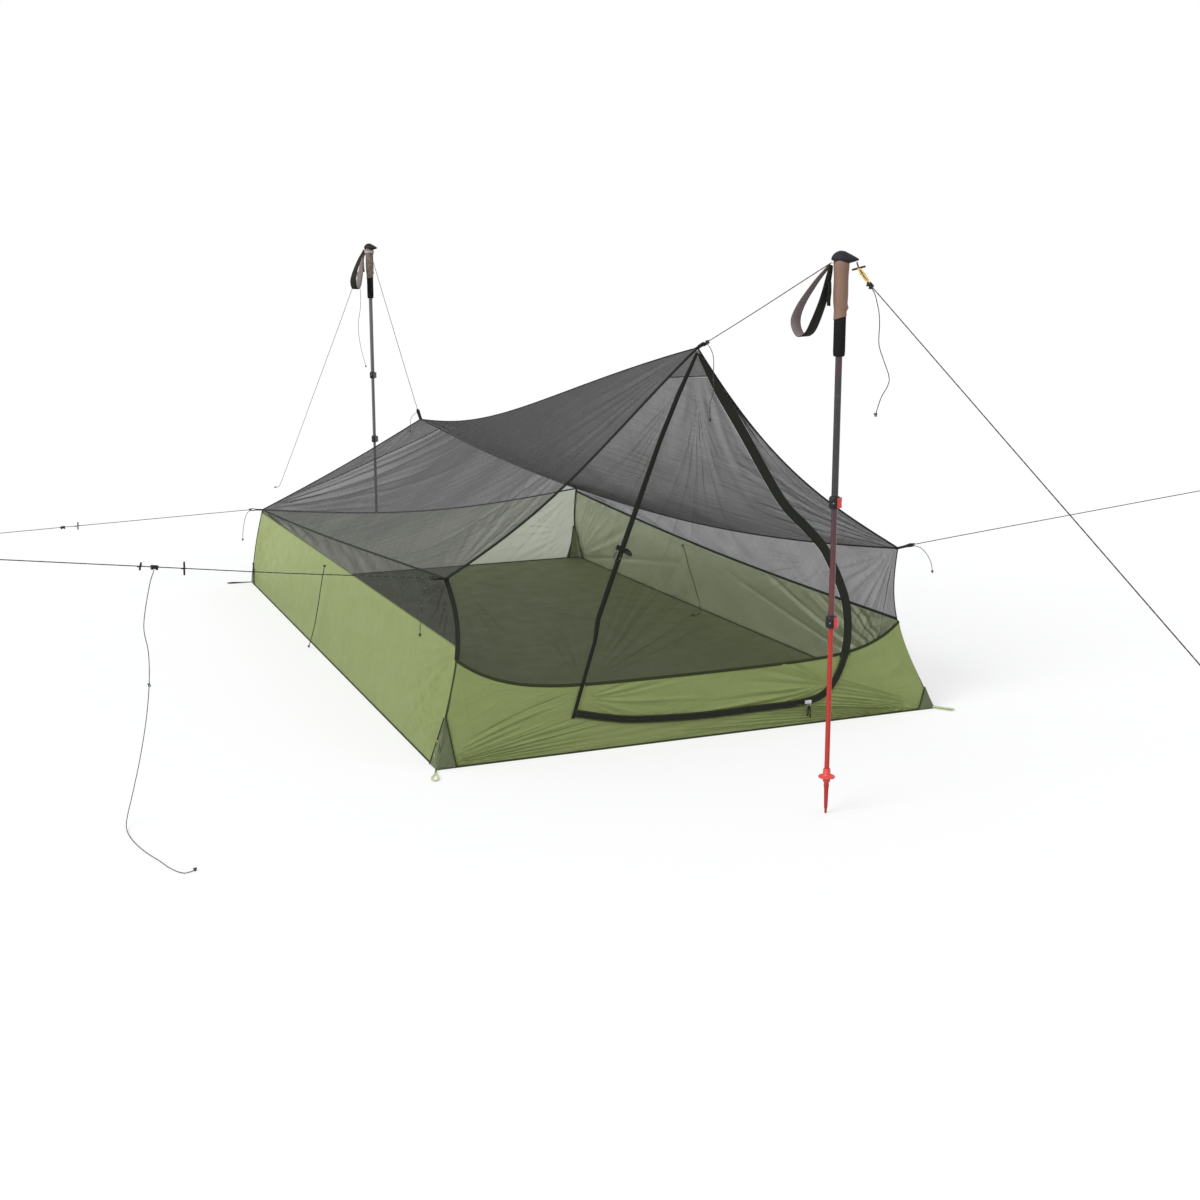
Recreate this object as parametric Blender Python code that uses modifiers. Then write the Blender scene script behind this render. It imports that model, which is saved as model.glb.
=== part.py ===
"""Mesh bug shelter: a netting canopy on a coated bathtub floor, hung between two trekking poles.

Metres, +Z up. +X is the right of the door, +Y runs from the door to the rear.
The origin is on the ground, at the middle of the floor.
"""

import math

import bmesh
import bpy
from mathutils import Matrix, Vector

# Floor and canopy
FLOOR_LENGTH = 2.38
FLOOR_FRONT_WIDTH = 1.38
FLOOR_REAR_WIDTH = 1.28
FLOOR_SHEET = 0.003
FABRIC = 0.0015
SEAM_GAP = 0.003
FRONT_CORNER_X = 0.627
FRONT_CORNER_Y = -1.09
FRONT_LEFT_HEIGHT = 0.437
FRONT_RIGHT_HEIGHT = 0.422
REAR_CORNER_X = 0.605
REAR_CORNER_Y = 1.125
REAR_LEFT_HEIGHT = 0.2755
REAR_RIGHT_HEIGHT = 0.284
PEAK_Y = -1.15
PEAK_HEIGHT = 0.968
RIDGE_END_Y = 1.16
RIDGE_END_HEIGHT = 0.571
LEFT_GREEN_HEIGHT = 0.275
RIGHT_GREEN_HEIGHT = 0.240
SILL_HEIGHT = 0.165
SILL_RISE = 0.088
SILL_FOOT = 0.01
WALL_MESH_TIP = 0.012
GUSSET_FOOT = 0.900
GUSSET_HEAD = (0.010, 0.948)
LEFT_MESH_TOP = 0.870
RIGHT_MESH_TOP = 0.850
REAR_MESH_SHARE = 0.985

# Corner patches, each with its stake loop
PATCH_REACH = 0.052
PATCH_OUT = 0.0055
PATCH_LIFT = 0.0015
PATCH_CLOTH = 0.0016
PATCH_TIP = 0.004
STAKE_LOOP = (0.052, 0.014, 0.0024)
STAKE_LOOP_LIFT = 0.0022

# Door: places on the front wall are (x, z)
HINGE_TOP = (0.0, 0.963)
HINGE_FOOT = (-0.338, 0.099)
ZIP_ROUTE = (
    (-0.338, 0.099), (-0.255, 0.080), (-0.175, 0.067), (-0.017, 0.058), (0.144, 0.058),
    (0.302, 0.061), (0.372, 0.087), (0.421, 0.162), (0.436, 0.244), (0.430, 0.319),
    (0.402, 0.387), (0.375, 0.441), (0.320, 0.502), (0.238, 0.582), (0.122, 0.763),
    (0.037, 0.894),
)
ZIP_TURN_X = 0.335
FLAP_WIDTH = 0.020
FLAP_ROOM = 0.012
FLAP_TOP = 0.99
FLAP_SPANS = 18
SLIDER_X = 0.305
SLIDER_Z = 0.061

# Trekking poles, upright, tips on the ground
POLE_Y = 1.81
UPPER_TUBE_R = 0.0072
UPPER_BORE_R = 0.0067
MID_TUBE_R = 0.0063
MID_BORE_R = 0.0058
LOWER_TUBE_R = 0.0054
LOWER_BORE_R = 0.0047
UPPER_LOCK_Z = 0.685
LOWER_LOCK_Z = 0.428
LOCK_HEIGHT = 0.026
LOCK_R = 0.0125
LOCK_EDGE = 0.003
LEVER_HEIGHT = 0.022
LEVER_START = -62
LEVER_SWEEP = 158
LEVER_TURN = -35
UPPER_TUBE_TOP = 1.130
MID_TUBE_TOP = 0.880
LOWER_TUBE_TOP = 0.560
TIP_TOP = 0.070
HEAD_HEIGHT = 1.1855
HEAD_RADII = (0.0310, 0.0145, 0.0145)
HEAD_SHIFT = 0.006
NOSE_TURN = -45
FRONT_STRAP_TURN = -73
REAR_STRAP_TURN = 48
GRIP_CLEAR = 0.0005
GRIP_FOOT_Z = 1.066
FOAM_FOOT_Z = 0.989
FOAM_R = 0.0125
BASKET_Z = 0.084
BASKET_R = 0.0185
TUBE_STEPS = 16
STRAP_SIDE = (-0.026, 0.008, 0)
STRAP_WIDTH = 0.024
STRAP_THICK = 0.0025
STRAP_LOOP = (
    (-0.003, 1.168), (-0.034, 1.137), (-0.068, 1.098), (-0.086, 1.066), (-0.084, 1.043),
    (-0.069, 1.028), (-0.048, 1.036), (-0.031, 1.063), (-0.014, 1.100), (-0.004, 1.132),
)

# Cords and their hardware
GUY = 0.0022
THIN_CORD = 0.0018
CORD_CLEAR = 0.0006
CLEAT_LENGTH = 0.016
CLEAT_WALL = 0.0028
TAB_SIZE = (0.012, 0.004)
BUCKLE_SIZE = (0.020, 0.005)
SLIDER_SIZE = (0.010, 0.0055, 0.034)
SLIDER_OFFSET = (-0.0075, -0.010)

FRONT_RIDGE_CORD = ((0, -1.199, 0.984), (-0.003, -1.347, 1.0317), (-0.006, -1.495, 1.0803),
                    (-0.009, -1.643, 1.1297), (-0.012, -1.7915, 1.179))
REAR_RIDGE_CORD = ((0, 1.195, 0.600), (0, 1.344, 0.7395), (0, 1.493, 0.8815), (0, 1.642, 1.0235),
                   (0, 1.7905, 1.165))
FRONT_GUY = ((0.0235, -1.8355, 1.1700), (0.0231, -1.8821, 1.1375), (0.0222, -1.9242, 1.1149),
             (0.0190, -2.0772, 1.0328), (0.0161, -2.2197, 0.9563), (0.0133, -2.3526, 0.8849),
             (0.0102, -2.5000, 0.8058), (0.0072, -2.6489, 0.7259), (0.0045, -2.7800, 0.6555),
             (0.0020, -2.9026, 0.5897), (0.0010, -2.9800, 0.5480), (0.0040, -3.0100, 0.5320),
             (0.0100, -3.0220, 0.5190), (0.0060, -3.0120, 0.5120))
REAR_GUY = ((0, 1.8295, 1.189), (-0.001, 2.0, 1.078), (-0.006, 2.3, 0.863), (-0.013, 2.6, 0.648),
            (-0.020, 2.9, 0.433), (-0.027, 3.2, 0.217), (-0.034, 3.44, 0.045), (-0.036, 3.475, 0.020),
            (-0.038, 3.505, 0.006), (-0.046, 3.528, 0.002), (-0.056, 3.520, 0.002),
            (-0.057, 3.503, 0.003))
FRONT_LEFT_GUY = ((-0.665, -1.098, 0.4435), (-0.86, -1.139, 0.472), (-1.05, -1.180, 0.5005),
                  (-1.26, -1.2245, 0.5345), (-1.345, -1.2425, 0.5483), (-1.48, -1.2711, 0.5701),
                  (-1.64, -1.305, 0.596), (-1.700, -1.318, 0.6055), (-1.730, -1.326, 0.606),
                  (-1.741, -1.333, 0.598), (-1.733, -1.331, 0.589))
FRONT_RIGHT_GUY = ((0.667, -1.0985, 0.430), (0.85, -1.137, 0.458), (1.05, -1.180, 0.488),
                   (1.25, -1.222, 0.518), (1.46, -1.267, 0.5495), (1.558, -1.288, 0.564),
                   (1.590, -1.296, 0.566), (1.602, -1.303, 0.558), (1.594, -1.302, 0.549))
REAR_LEFT_GUY = ((-0.645, 1.1355, 0.277), (-0.80, 1.177, 0.265), (-0.95, 1.217, 0.2535),
                 (-1.085, 1.2535, 0.243), (-1.235, 1.2935, 0.2315), (-1.275, 1.304, 0.2285),
                 (-1.37, 1.3295, 0.221), (-1.50, 1.364, 0.211), (-1.580, 1.3855, 0.205),
                 (-1.612, 1.394, 0.205), (-1.624, 1.402, 0.197), (-1.616, 1.401, 0.188))
FRONT_LEFT_TAIL = ((-1.3210, -1.2372, 0.5380), (-1.3330, -1.2395, 0.505), (-1.350, -1.243, 0.420),
                   (-1.343, -1.240, 0.360), (-1.346, -1.244, 0.290), (-1.358, -1.250, 0.210),
                   (-1.376, -1.256, 0.130), (-1.396, -1.268, 0.062), (-1.412, -1.288, 0.020),
                   (-1.420, -1.320, 0.004), (-1.421, -1.372, 0.0020), (-1.415, -1.430, 0.0020),
                   (-1.402, -1.492, 0.0020), (-1.385, -1.548, 0.0020), (-1.372, -1.597, 0.0020),
                   (-1.352, -1.634, 0.0020), (-1.328, -1.626, 0.0020))
LEFT_TIE_CORD = ((-0.6400, 0.07, 0.262), (-0.6465, 0.073, 0.230), (-0.6520, 0.083, 0.190),
                 (-0.6580, 0.087, 0.150), (-0.6630, 0.098, 0.110), (-0.6700, 0.105, 0.070),
                 (-0.6780, 0.118, 0.030), (-0.6840, 0.128, 0.004))
RIGHT_TIE_CORD = ((0.6040, 0.16, 0.222), (0.6040, 0.140, 0.200), (0.6060, 0.120, 0.160),
                  (0.6100, 0.095, 0.120), (0.6120, 0.070, 0.080), (0.6150, 0.050, 0.045),
                  (0.6140, 0.045, 0.018), (0.6080, 0.050, 0.0068), (0.5950, 0.062, 0.0050))
REAR_POLE_TAIL = ((-0.0155, 1.838, 1.176), (-0.024, 1.875, 1.140), (-0.029, 1.895, 1.080),
                  (-0.021, 1.885, 1.020), (-0.024, 1.880, 0.950), (-0.032, 1.890, 0.880),
                  (-0.027, 1.885, 0.800), (-0.011, 1.870, 0.715))
FRONT_GUY_TAIL = ((0.0258, -1.8990, 1.1190), (0.0310, -1.9005, 1.1000), (0.0355, -1.9016, 1.0816),
                  (0.0373, -1.9023, 1.0555), (0.0373, -1.9023, 1.0173), (0.0482, -1.9069, 0.9832),
                  (0.0591, -1.9115, 0.9450), (0.0446, -1.9054, 0.9108), (0.0355, -1.9016, 0.8766))

OLIVE = (0.26, 0.32, 0.15)
PATCH_GREEN = (0.13, 0.15, 0.08)
GREY_MESH = (0.11, 0.11, 0.12)
GREY_CORD = (0.06, 0.06, 0.06)
BLACK = (0.012, 0.012, 0.013)
STEEL = (0.6, 0.6, 0.6)
LEVER_RED = (0.80, 0.05, 0.06)
BASKET_RED = (0.75, 0.10, 0.09)
CORK = (0.25, 0.15, 0.10)
DARK_TUBE = (0.09, 0.05, 0.06)
RED_TUBE = (0.44, 0.03, 0.02)

FRONT_LEFT = Vector((-FLOOR_FRONT_WIDTH / 2, -FLOOR_LENGTH / 2, 0))
FRONT_RIGHT = Vector((FLOOR_FRONT_WIDTH / 2, -FLOOR_LENGTH / 2, 0))
REAR_LEFT = Vector((-FLOOR_REAR_WIDTH / 2, FLOOR_LENGTH / 2, 0))
REAR_RIGHT = Vector((FLOOR_REAR_WIDTH / 2, FLOOR_LENGTH / 2, 0))
FRONT_LEFT_TOP = Vector((-FRONT_CORNER_X, FRONT_CORNER_Y, FRONT_LEFT_HEIGHT))
FRONT_RIGHT_TOP = Vector((FRONT_CORNER_X, FRONT_CORNER_Y, FRONT_RIGHT_HEIGHT))
REAR_LEFT_TOP = Vector((-REAR_CORNER_X, REAR_CORNER_Y, REAR_LEFT_HEIGHT))
REAR_RIGHT_TOP = Vector((REAR_CORNER_X, REAR_CORNER_Y, REAR_RIGHT_HEIGHT))
PEAK = Vector((0, PEAK_Y, PEAK_HEIGHT))
RIDGE_END = Vector((0, RIDGE_END_Y, RIDGE_END_HEIGHT))


# Scene and materials


def clear_scene():
    for obj in list(bpy.data.objects):
        bpy.data.objects.remove(obj, do_unlink=True)


def new_collection(name):
    collection = bpy.data.collections.new(name)
    bpy.context.scene.collection.children.link(collection)
    return collection


def material(name, colour, roughness, metallic=0.0):
    made = bpy.data.materials.get(name)
    if made is None:
        made = bpy.data.materials.new(name)
        made.use_nodes = True
        shader = made.node_tree.nodes["Principled BSDF"]
        shader.inputs["Base Color"].default_value = (*colour, 1)
        shader.inputs["Roughness"].default_value = roughness
        shader.inputs["Metallic"].default_value = metallic
    return made


def add_object(name, data, finish, smooth=True):
    data.materials.append(finish)
    if smooth and isinstance(data, bpy.types.Mesh):
        data.shade_smooth()
        data.set_sharp_from_angle(angle=math.radians(40))
    obj = bpy.data.objects.new(name, data)
    PARTS.objects.link(obj)
    return obj


def olive_cloth():
    return material("olive_fabric", OLIVE, 0.7)


def netting():
    return material("grey_netting", GREY_MESH, 0.8)


def webbing():
    return material("black_webbing", BLACK, 0.6)


def mesh_of(name, bm):
    mesh = bpy.data.meshes.new(name)
    bm.to_mesh(mesh)
    bm.free()
    return mesh


# Curves: each is a function of t from 0 to 1


def seam(start, end, sag=(0, 0, 0), skew=1.0):
    pull = Vector(sag)
    return lambda t: start.lerp(end, t) + pull * math.sin(math.pi * t**skew)


def stretch(curve, first, last):
    return lambda t: curve(first + (last - first) * t)


def backwards(curve):
    return lambda t: curve(1 - t)


def chained(*pieces):
    """One curve from (end, curve) pieces, each running up to its own end."""

    def at(t):
        begin = 0.0
        for end, curve in pieces:
            if t <= end or end == pieces[-1][0]:
                return curve((t - begin) / (end - begin))
            begin = end

    return at


def smooth_step(a, b, c, d, t):
    """The point at t between b and c, on the Catmull-Rom curve through all four."""
    bend = 2 * a - 5 * b + 4 * c - d
    twist = 3 * b - a - 3 * c + d
    return 0.5 * (2 * b + (c - a) * t + bend * t**2 + twist * t**3)


def smooth_slope(a, b, c, d, t):
    bend = 2 * a - 5 * b + 4 * c - d
    twist = 3 * b - a - 3 * c + d
    return 0.5 * ((c - a) + 2 * bend * t + 3 * twist * t**2)


def smooth_samples(points, per_span=8):
    """A Catmull-Rom curve through the points, sampled."""
    ends = [2 * points[0] - points[1], *points, 2 * points[-1] - points[-2]]
    samples = []
    for a, b, c, d in zip(ends, ends[1:], ends[2:], ends[3:]):
        samples += [smooth_step(a, b, c, d, step / per_span) for step in range(per_span)]
    return [*samples, points[-1]]


def even_curve(points):
    """A smooth curve through the points, with t in step with its length."""
    samples = smooth_samples(points)
    run = [0.0]
    for a, b in zip(samples, samples[1:]):
        run.append(run[-1] + (b - a).length)

    def at(t):
        want = min(max(t, 0.0), 1.0) * run[-1]
        for i in range(1, len(run)):
            if run[i] >= want:
                return samples[i - 1].lerp(samples[i], (want - run[i - 1]) / (run[i] - run[i - 1]))
        return samples[-1]

    at.length = run[-1]
    return at


def fraction_where(curve, test, steps=400):
    """The first t at which the curve passes the test."""
    for step in range(steps + 1):
        if test(curve(step / steps)):
            return step / steps
    return 1.0


# The front wall's surface and the canopy's seams


def front_y(x, z):
    middle = -FLOOR_LENGTH / 2 + 0.04 * z / PEAK_HEIGHT
    corner = (FRONT_LEFT_HEIGHT + FRONT_RIGHT_HEIGHT) / 2
    if z < corner:
        half = FRONT_RIGHT.x + (FRONT_CORNER_X - FRONT_RIGHT.x) * z / corner
        side = FRONT_RIGHT.y + (FRONT_CORNER_Y - FRONT_RIGHT.y) * z / corner
    else:
        up = (z - corner) / (PEAK_HEIGHT - corner)
        half = max(FRONT_CORNER_X * (1 - up), 0.02)
        side = FRONT_CORNER_Y + (PEAK_Y - FRONT_CORNER_Y) * up
    return middle + (side - middle) * min(abs(x) / half, 1.0) ** 2


def on_front(x, z):
    return Vector((x, front_y(x, z), z))


def sill_height(x):
    """The green sill's top edge, which turns up towards both corners."""
    return SILL_HEIGHT + SILL_RISE * (abs(x) / FRONT_CORNER_X) ** 6


def sill_seam(from_x, to_x):
    def at(t):
        x = from_x + (to_x - from_x) * t
        return on_front(x, sill_height(x))

    return at


def sloped(start, end):
    return lambda t: start.lerp(end, t)


def beside(zip_line, offset, first, last):
    """The stretch of the zip line from first to last, moved sideways in the front wall."""

    def at(t):
        here = first + (last - first) * t
        along = zip_line(here + 0.004) - zip_line(here - 0.004)
        across = Vector((along.z, 0, -along.x)).normalized()
        return zip_line(here) + across * offset

    return at


def canopy_seams():
    left_corner = seam(FRONT_LEFT, FRONT_LEFT_TOP, (0.037, 0, 0), 1.5)
    right_corner = seam(FRONT_RIGHT, FRONT_RIGHT_TOP, (-0.050, 0, 0), 1.2)
    left_cut = fraction_where(left_corner, lambda q: q.z >= LEFT_GREEN_HEIGHT)
    right_cut = fraction_where(right_corner, lambda q: q.z >= RIGHT_GREEN_HEIGHT)
    left_sill = fraction_where(left_corner, lambda q: q.z >= sill_height(q.x))
    right_sill = fraction_where(right_corner, lambda q: q.z >= sill_height(q.x))
    tip = Vector((0, 0, WALL_MESH_TIP))
    return {
        "left_corner": left_corner,
        "right_corner": right_corner,
        "left_cut": left_cut,
        "right_cut": right_cut,
        "left_sill": left_sill,
        "right_sill": right_sill,
        "ridge": seam(PEAK, RIDGE_END, (0, 0, -0.049), 1.65),
        "left_edge": seam(PEAK, FRONT_LEFT_TOP, (0.018, 0, -0.024), 1.4),
        "right_edge": seam(PEAK, FRONT_RIGHT_TOP, (-0.031, 0, -0.042), 0.95),
        "left_eave": seam(FRONT_LEFT_TOP, REAR_LEFT_TOP, (0, 0, -0.008), 1.3),
        "right_eave": seam(FRONT_RIGHT_TOP, REAR_RIGHT_TOP, (-0.010, 0, -0.040), 0.9),
        "rear_left_edge": seam(REAR_LEFT_TOP, RIDGE_END, (0, 0, -0.008)),
        "rear_right_edge": seam(REAR_RIGHT_TOP, RIDGE_END, (0, 0, -0.014)),
        "left_green": seam(left_corner(left_cut), REAR_LEFT_TOP - tip),
        "right_green": seam(right_corner(right_cut), REAR_RIGHT_TOP - tip, (0, 0, -0.018)),
        "rear_green": seam(REAR_LEFT_TOP, REAR_RIGHT_TOP, (0, 0, -0.045)),
        "rear_left_corner": seam(REAR_LEFT, REAR_LEFT_TOP, (-0.006, 0, 0)),
        "rear_right_corner": seam(REAR_RIGHT, REAR_RIGHT_TOP, (-0.012, 0, 0)),
    }


# Builders


def coons(foot, head, left, right, fade=1.0):
    """A surface over four edge curves: foot and head run from left to right, left and right run upwards.

    The bow of the left and right edges fades out over a share of the width.
    """

    def at(u, v):
        bow_left = left(v) - foot(0).lerp(head(0), v)
        bow_right = right(v) - foot(1).lerp(head(1), v)
        across = foot(u).lerp(head(u), v)
        return across + bow_left * max(1 - u / fade, 0) + bow_right * max(1 - (1 - u) / fade, 0)

    return at


def panel(name, edges, spans, finish, gaps=(SEAM_GAP,) * 4, thickness=FABRIC, fade=1.0):
    """A fabric panel with a wall, kept short of its seams by gaps on its left, right, foot and head."""
    foot, head, left, right = edges
    surface = coons(foot, head, left, right, fade)
    bm = bmesh.new()
    bmesh.ops.create_grid(bm, x_segments=spans[0], y_segments=spans[1], size=0.5)
    for vert in bm.verts:
        u, v = vert.co.x + 0.5, vert.co.y + 0.5
        width = (right(v) - left(v)).length
        height = (head(u) - foot(u)).length
        u_in = min(max(u, gaps[0] / width), 1 - gaps[1] / width)
        v_in = min(max(v, gaps[2] / height), 1 - gaps[3] / height)
        vert.co = surface(u_in, v_in)
    obj = add_object(name, mesh_of(name, bm), finish)
    shell = obj.modifiers.new("cloth", "SOLIDIFY")
    shell.thickness = thickness
    shell.offset = 0
    return obj


def turned(name, profile, place, finish, steps=TUBE_STEPS):
    """A solid of revolution about a vertical axis, from (radius, height) points down its outer side."""
    bm = bmesh.new()
    verts = [bm.verts.new((r, 0, z)) for r, z in profile]
    for a, b in zip(verts, verts[1:]):
        bm.edges.new((a, b))
    if profile[0][0] > 0 or profile[-1][0] > 0:
        bm.edges.new((verts[-1], verts[0]))
    obj = add_object(name, mesh_of(name, bm), finish, smooth=False)
    obj.location = place
    spin = obj.modifiers.new("turn", "SCREW")
    spin.steps = steps
    spin.render_steps = steps
    spin.use_merge_vertices = True
    spin.merge_threshold = 0.0001
    return obj


def flat_solid(name, outlines, height, matrix, finish):
    """A flat outline, with holes where it has more than one, given a height and placed by a matrix."""
    curve = bpy.data.curves.new(name, "CURVE")
    curve.dimensions = "2D"
    curve.fill_mode = "BOTH"
    curve.extrude = height / 2
    for outline in outlines:
        spline = curve.splines.new("POLY")
        spline.points.add(len(outline) - 1)
        for point, (x, y) in zip(spline.points, outline):
            point.co = (x, y, 0, 1)
        spline.use_cyclic_u = True
    obj = add_object(name, curve, finish)
    obj.matrix_world = matrix
    return obj


def box(name, size, centre, finish, turn=None, bevel=0.0):
    bm = bmesh.new()
    bmesh.ops.create_cube(bm, size=1)
    bmesh.ops.scale(bm, vec=size, verts=bm.verts)
    if bevel:
        bmesh.ops.bevel(
            bm, geom=bm.edges[:], offset=bevel, segments=1, profile=0.5, affect="EDGES", material=-1
        )
    obj = add_object(name, mesh_of(name, bm), finish, smooth=False)
    obj.matrix_world = Matrix.Translation(centre) @ (turn or Matrix.Identity(4))
    return obj


def cord(name, route, diameter, spacing, finish):
    """A round cord along a smooth curve through its route's points."""
    path = even_curve([Vector(point) for point in route])
    count = max(int(path.length / spacing), 12)
    curve = bpy.data.curves.new(name, "CURVE")
    curve.dimensions = "3D"
    curve.bevel_depth = diameter / 2
    curve.bevel_resolution = 2
    curve.use_fill_caps = True
    spline = curve.splines.new("POLY")
    spline.points.add(count)
    for i, point in enumerate(spline.points):
        point.co = (*path(i / count), 1)
    return add_object(name, curve, finish)


def joined_to(obj, extra):
    """Adds another solid to this one, and keeps it as a hidden helper."""
    PARTS.objects.unlink(extra)
    HELPERS.objects.link(extra)
    extra.hide_render = True
    extra.display_type = "WIRE"
    union = obj.modifiers.new("join", "BOOLEAN")
    union.operation = "UNION"
    union.object = extra


def facing(along, up=Vector((0, 0, 1))):
    """A turn that takes +X to a direction, with +Z as near to up as it can be."""
    x = Vector(along).normalized()
    y = up.cross(x).normalized()
    return Matrix((x, y, x.cross(y))).transposed().to_4x4()


# Fabric


def make_floor_and_walls(seams):
    olive = olive_cloth()
    net = netting()
    flat = [sloped(a, b) for a, b in ((FRONT_LEFT, FRONT_RIGHT), (REAR_LEFT, REAR_RIGHT),
                                      (FRONT_LEFT, REAR_LEFT), (FRONT_RIGHT, REAR_RIGHT))]
    floor = panel("floor_sheet", flat, (1, 1), olive, (0.0,) * 4, FLOOR_SHEET)
    floor.location.z = FLOOR_SHEET / 2
    wall_gaps = (SEAM_GAP, SEAM_GAP, 0.0045, SEAM_GAP)
    sides = (
        ("left", FRONT_LEFT, REAR_LEFT, "left_corner", "left_cut", "left_green", "left_eave"),
        ("right", FRONT_RIGHT, REAR_RIGHT, "right_corner", "right_cut", "right_green", "right_eave"),
    )
    for side, front, rear, corner, cut, green, eave in sides:
        front_seam = seams[corner]
        rear_seam = seams[f"rear_{side}_corner"]
        rear_top = seams[green](1)
        low_front = stretch(front_seam, 0, seams[cut])
        high_front = stretch(front_seam, seams[cut], 1)
        low_rear = stretch(rear_seam, 0, fraction_where(rear_seam, lambda q: q.z >= rear_top.z))
        high_rear = sloped(rear_top, seams[eave](1))
        panel(f"{side}_wall", (sloped(front, rear), seams[green], low_front, low_rear), (10, 3), olive,
              wall_gaps)
        panel(f"{side}_wall_mesh", (seams[green], seams[eave], high_front, high_rear), (12, 3), net,
              (SEAM_GAP, SEAM_GAP, 0.0025, 0.0025))
    rear_left, rear_right = seams["rear_left_corner"], seams["rear_right_corner"]
    panel("rear_wall", (sloped(REAR_LEFT, REAR_RIGHT), seams["rear_green"], rear_left, rear_right), (8, 3),
          olive, wall_gaps)
    up_left = stretch(seams["rear_left_edge"], 0, REAR_MESH_SHARE)
    up_right = stretch(seams["rear_right_edge"], 0, REAR_MESH_SHARE)
    panel("rear_mesh", (seams["rear_green"], sloped(up_left(1), up_right(1)), up_left, up_right), (8, 6), net)


def make_roof(seams):
    for side in ("left", "right"):
        up_front = backwards(seams[f"{side}_edge"])
        up_rear = seams[f"rear_{side}_edge"]
        panel(f"roof_{side}_mesh", (seams[f"{side}_eave"], seams["ridge"], up_front, up_rear), (12, 6),
              netting())


def front_curves(seams):
    """The door's own curves on the front wall."""
    hinge_top = on_front(*HINGE_TOP)
    hinge_foot = on_front(*HINGE_FOOT)
    hinge = sloped(hinge_foot, hinge_top)
    zip_line = even_curve([on_front(x, z) for x, z in ZIP_ROUTE])
    turn = fraction_where(zip_line, lambda q: q.x >= ZIP_TURN_X)
    at_sill = fraction_where(zip_line, lambda q: q.x > ZIP_TURN_X and q.z >= sill_height(q.x))
    hinge_sill = fraction_where(hinge, lambda q: q.z >= sill_height(q.x))
    return hinge, zip_line, turn, at_sill, hinge_sill


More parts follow.
